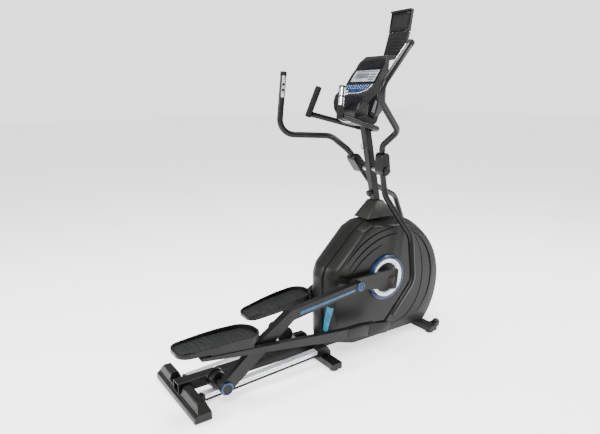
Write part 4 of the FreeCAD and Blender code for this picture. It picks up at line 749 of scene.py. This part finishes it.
stand_at = plate_at(holder_low, stand_lean)
clamp_foot = stand_at(stand_top, 0, 0) + Vector((0, 0, 0.4))
clamp_at = plate_at(clamp_foot, clamp_lean)
for k in range(5):
    rib = slab(f"tablet_stand_rib_{k + 1}", [stand_at(a, y, -1) for a, y in rounded(
        [(14 + 17 * k, -62, 2), (19 + 17 * k, -62, 2), (19 + 17 * k, 62, 2),
         (14 + 17 * k, 62, 2)], 2)], stand_at(0, 0, 3) - stand_at(0, 0, 0), bevel=0.8)
    done(rib, "frame", ABS_BLACK, slot="black_plastic")
for border_name, corners in (
        ("tablet_border_right", [(2, -74), (2, -64), (100, -64), (100, -74)]),
        ("tablet_border_left", [(2, 64), (2, 74), (100, 74), (100, 64)]),
        ("tablet_border_foot", [(2, -64), (2, 64), (12, 64), (12, 16), (5, 8), (12, 0), (5, -8),
                                (12, -16), (12, -64)]),
        ("tablet_border_top", [(92, -64), (92, 64), (101, 64), (101, -64)])):
    border = slab(border_name, [clamp_at(a, y, -1) for a, y in corners],
                  clamp_at(0, 0, 4) - clamp_at(0, 0, 0), bevel=1)
    done(border, "tablet_clamp", ABS_GLOSS, slot="black_plastic")
pad = slab("tablet_pad", [clamp_at(a, y, -1) for a, y in rounded(
    [(20, -56, 5), (86, -56, 5), (86, 56, 5), (20, 56, 5)])],
    clamp_at(0, 0, 2) - clamp_at(0, 0, 0), bevel=0.6)
done(pad, "tablet_clamp", RUBBER, slot="rubber_feet")

# Two guide rods hang from the clamp into the stand, and still reach it at the end of its slide.
slide_axis = JOINTS["tablet_clamp_slide"]["axis"]
for side_name, side in SIDES:
    rod = turned(f"{side_name}_clamp_rod", [(0, -56), (2.2, -56), (2.8, -55.2), (2.8, 12), (0, 12)],
                 clamp_at(0, 46 * side, -3.4), slide_axis, 24)
    done(rod, "tablet_clamp", BRUSHED, slot="sensor_steel")

# ---------------------------------------------------------------- rails and feet

rail_incline = math.radians(3)
on_rail = tilted(Vector((-627.5, 0, 60.0)), rail_incline)
# Painted shade: a thin black strip along each rail's under-edge, put where the rail's underside lies in
# shade.
shade_line_outline = ((-66, 117.6), (544, 117.6), (544, 118.5), (-66, 118.5))
for side_name, side in SIDES:
    strip = slab(f"{side_name}_rail_painted_shade_line",
                 [on_rail(u, -10, side * v) for u, v in shade_line_outline],
                 on_rail(0, 1.6, 0) - on_rail(0, 0, 0))
    done(strip, "frame", RUBBER, slot="rubber_feet")
    bush = turned(f"{side_name}_roller_bush",
                  [(8.2, 119), (13, 119), (13, 122.5), (8.2, 122.5)],
                  on_centreline(joint_place(f"{side_name}_link_pivot")), (0, side, 0), 24)
    done(bush, f"{side_name}_carriage", BRASS, slot="steel")

# ---------------------------------------------------------------- studio

# The eye stands behind the trainer on its right and looks forward along it.
EYE = Vector((-1.5415, -2.156, 1.374))
YAW, PITCH, ROLL = 0.981, 0.227, -0.009
look = Vector((math.cos(YAW) * math.cos(PITCH), math.sin(YAW) * math.cos(PITCH),
               -math.sin(PITCH)))
level = look.cross(Vector((0, 0, 1))).normalized()
rise = level.cross(look)
right_hand = level * math.cos(ROLL) + rise * math.sin(ROLL)
upward = rise * math.cos(ROLL) - level * math.sin(ROLL)
lens = bpy.data.cameras.new("studio_camera")
lens.lens = 32.0
lens.sensor_width = 36.0
camera = bpy.data.objects.new("studio_camera", lens)
turn = Matrix((right_hand, upward, -look)).transposed().to_4x4()
camera.matrix_world = Matrix.Translation(EYE) @ turn
bpy.context.scene.collection.objects.link(camera)
bpy.context.scene.camera = camera

bpy.ops.object.select_all(action="DESELECT")
bpy.ops.mesh.primitive_plane_add(size=60, location=(0, 0, 0))
floor = bpy.context.object
floor.name = "studio_floor"
floor_finish = finish("studio_paper", "#f4f4f4", "#f8f8f8", 0.85, 4.0, 0.0, patch=900)
paper = floor_finish.node_tree.nodes["Principled BSDF"]
paper.inputs["Emission Color"].default_value = (1.0, 1.0, 1.0, 1.0)
paper.inputs["Emission Strength"].default_value = 1.5
floor.data.materials.append(floor_finish)

# The backdrop is bright to the eye, and lights the trainer only softly.
SOFT_LIGHT, BACKDROP = 0.5, 2.1
world = bpy.data.worlds.new("studio")
world.use_nodes = True
sky = world.node_tree.nodes["Background"]
sky.inputs["Color"].default_value = (1.0, 1.0, 1.0, 1.0)
seen = add(world.node_tree, "ShaderNodeLightPath").outputs["Is Camera Ray"]
glow = add(world.node_tree, "ShaderNodeMapRange",
           {"Value": seen, "To Min": SOFT_LIGHT, "To Max": BACKDROP})
world.node_tree.links.new(glow.outputs["Result"], sky.inputs["Strength"])
bpy.context.scene.world = world

LIT_POINT = Vector((0, 0, 0.7))
for light_name, place, size, watts in (
        ("key_softbox", (-2.2, -2.6, 3.6), 1.6, 260), ("rear_softbox", (-3.4, 1.4, 2.4), 1.2, 130),
        ("front_softbox", (3.2, -1.8, 2.6), 1.6, 120), ("top_softbox", (0.2, 0.2, 4.2), 1.6, 240)):
    lamp = bpy.data.lights.new(light_name, "AREA")
    lamp.energy = watts
    lamp.size = size
    softbox = bpy.data.objects.new(light_name, lamp)
    softbox.location = place
    aim = LIT_POINT - Vector(place)
    softbox.rotation_euler = aim.to_track_quat("-Z", "Y").to_euler()
    bpy.context.scene.collection.objects.link(softbox)
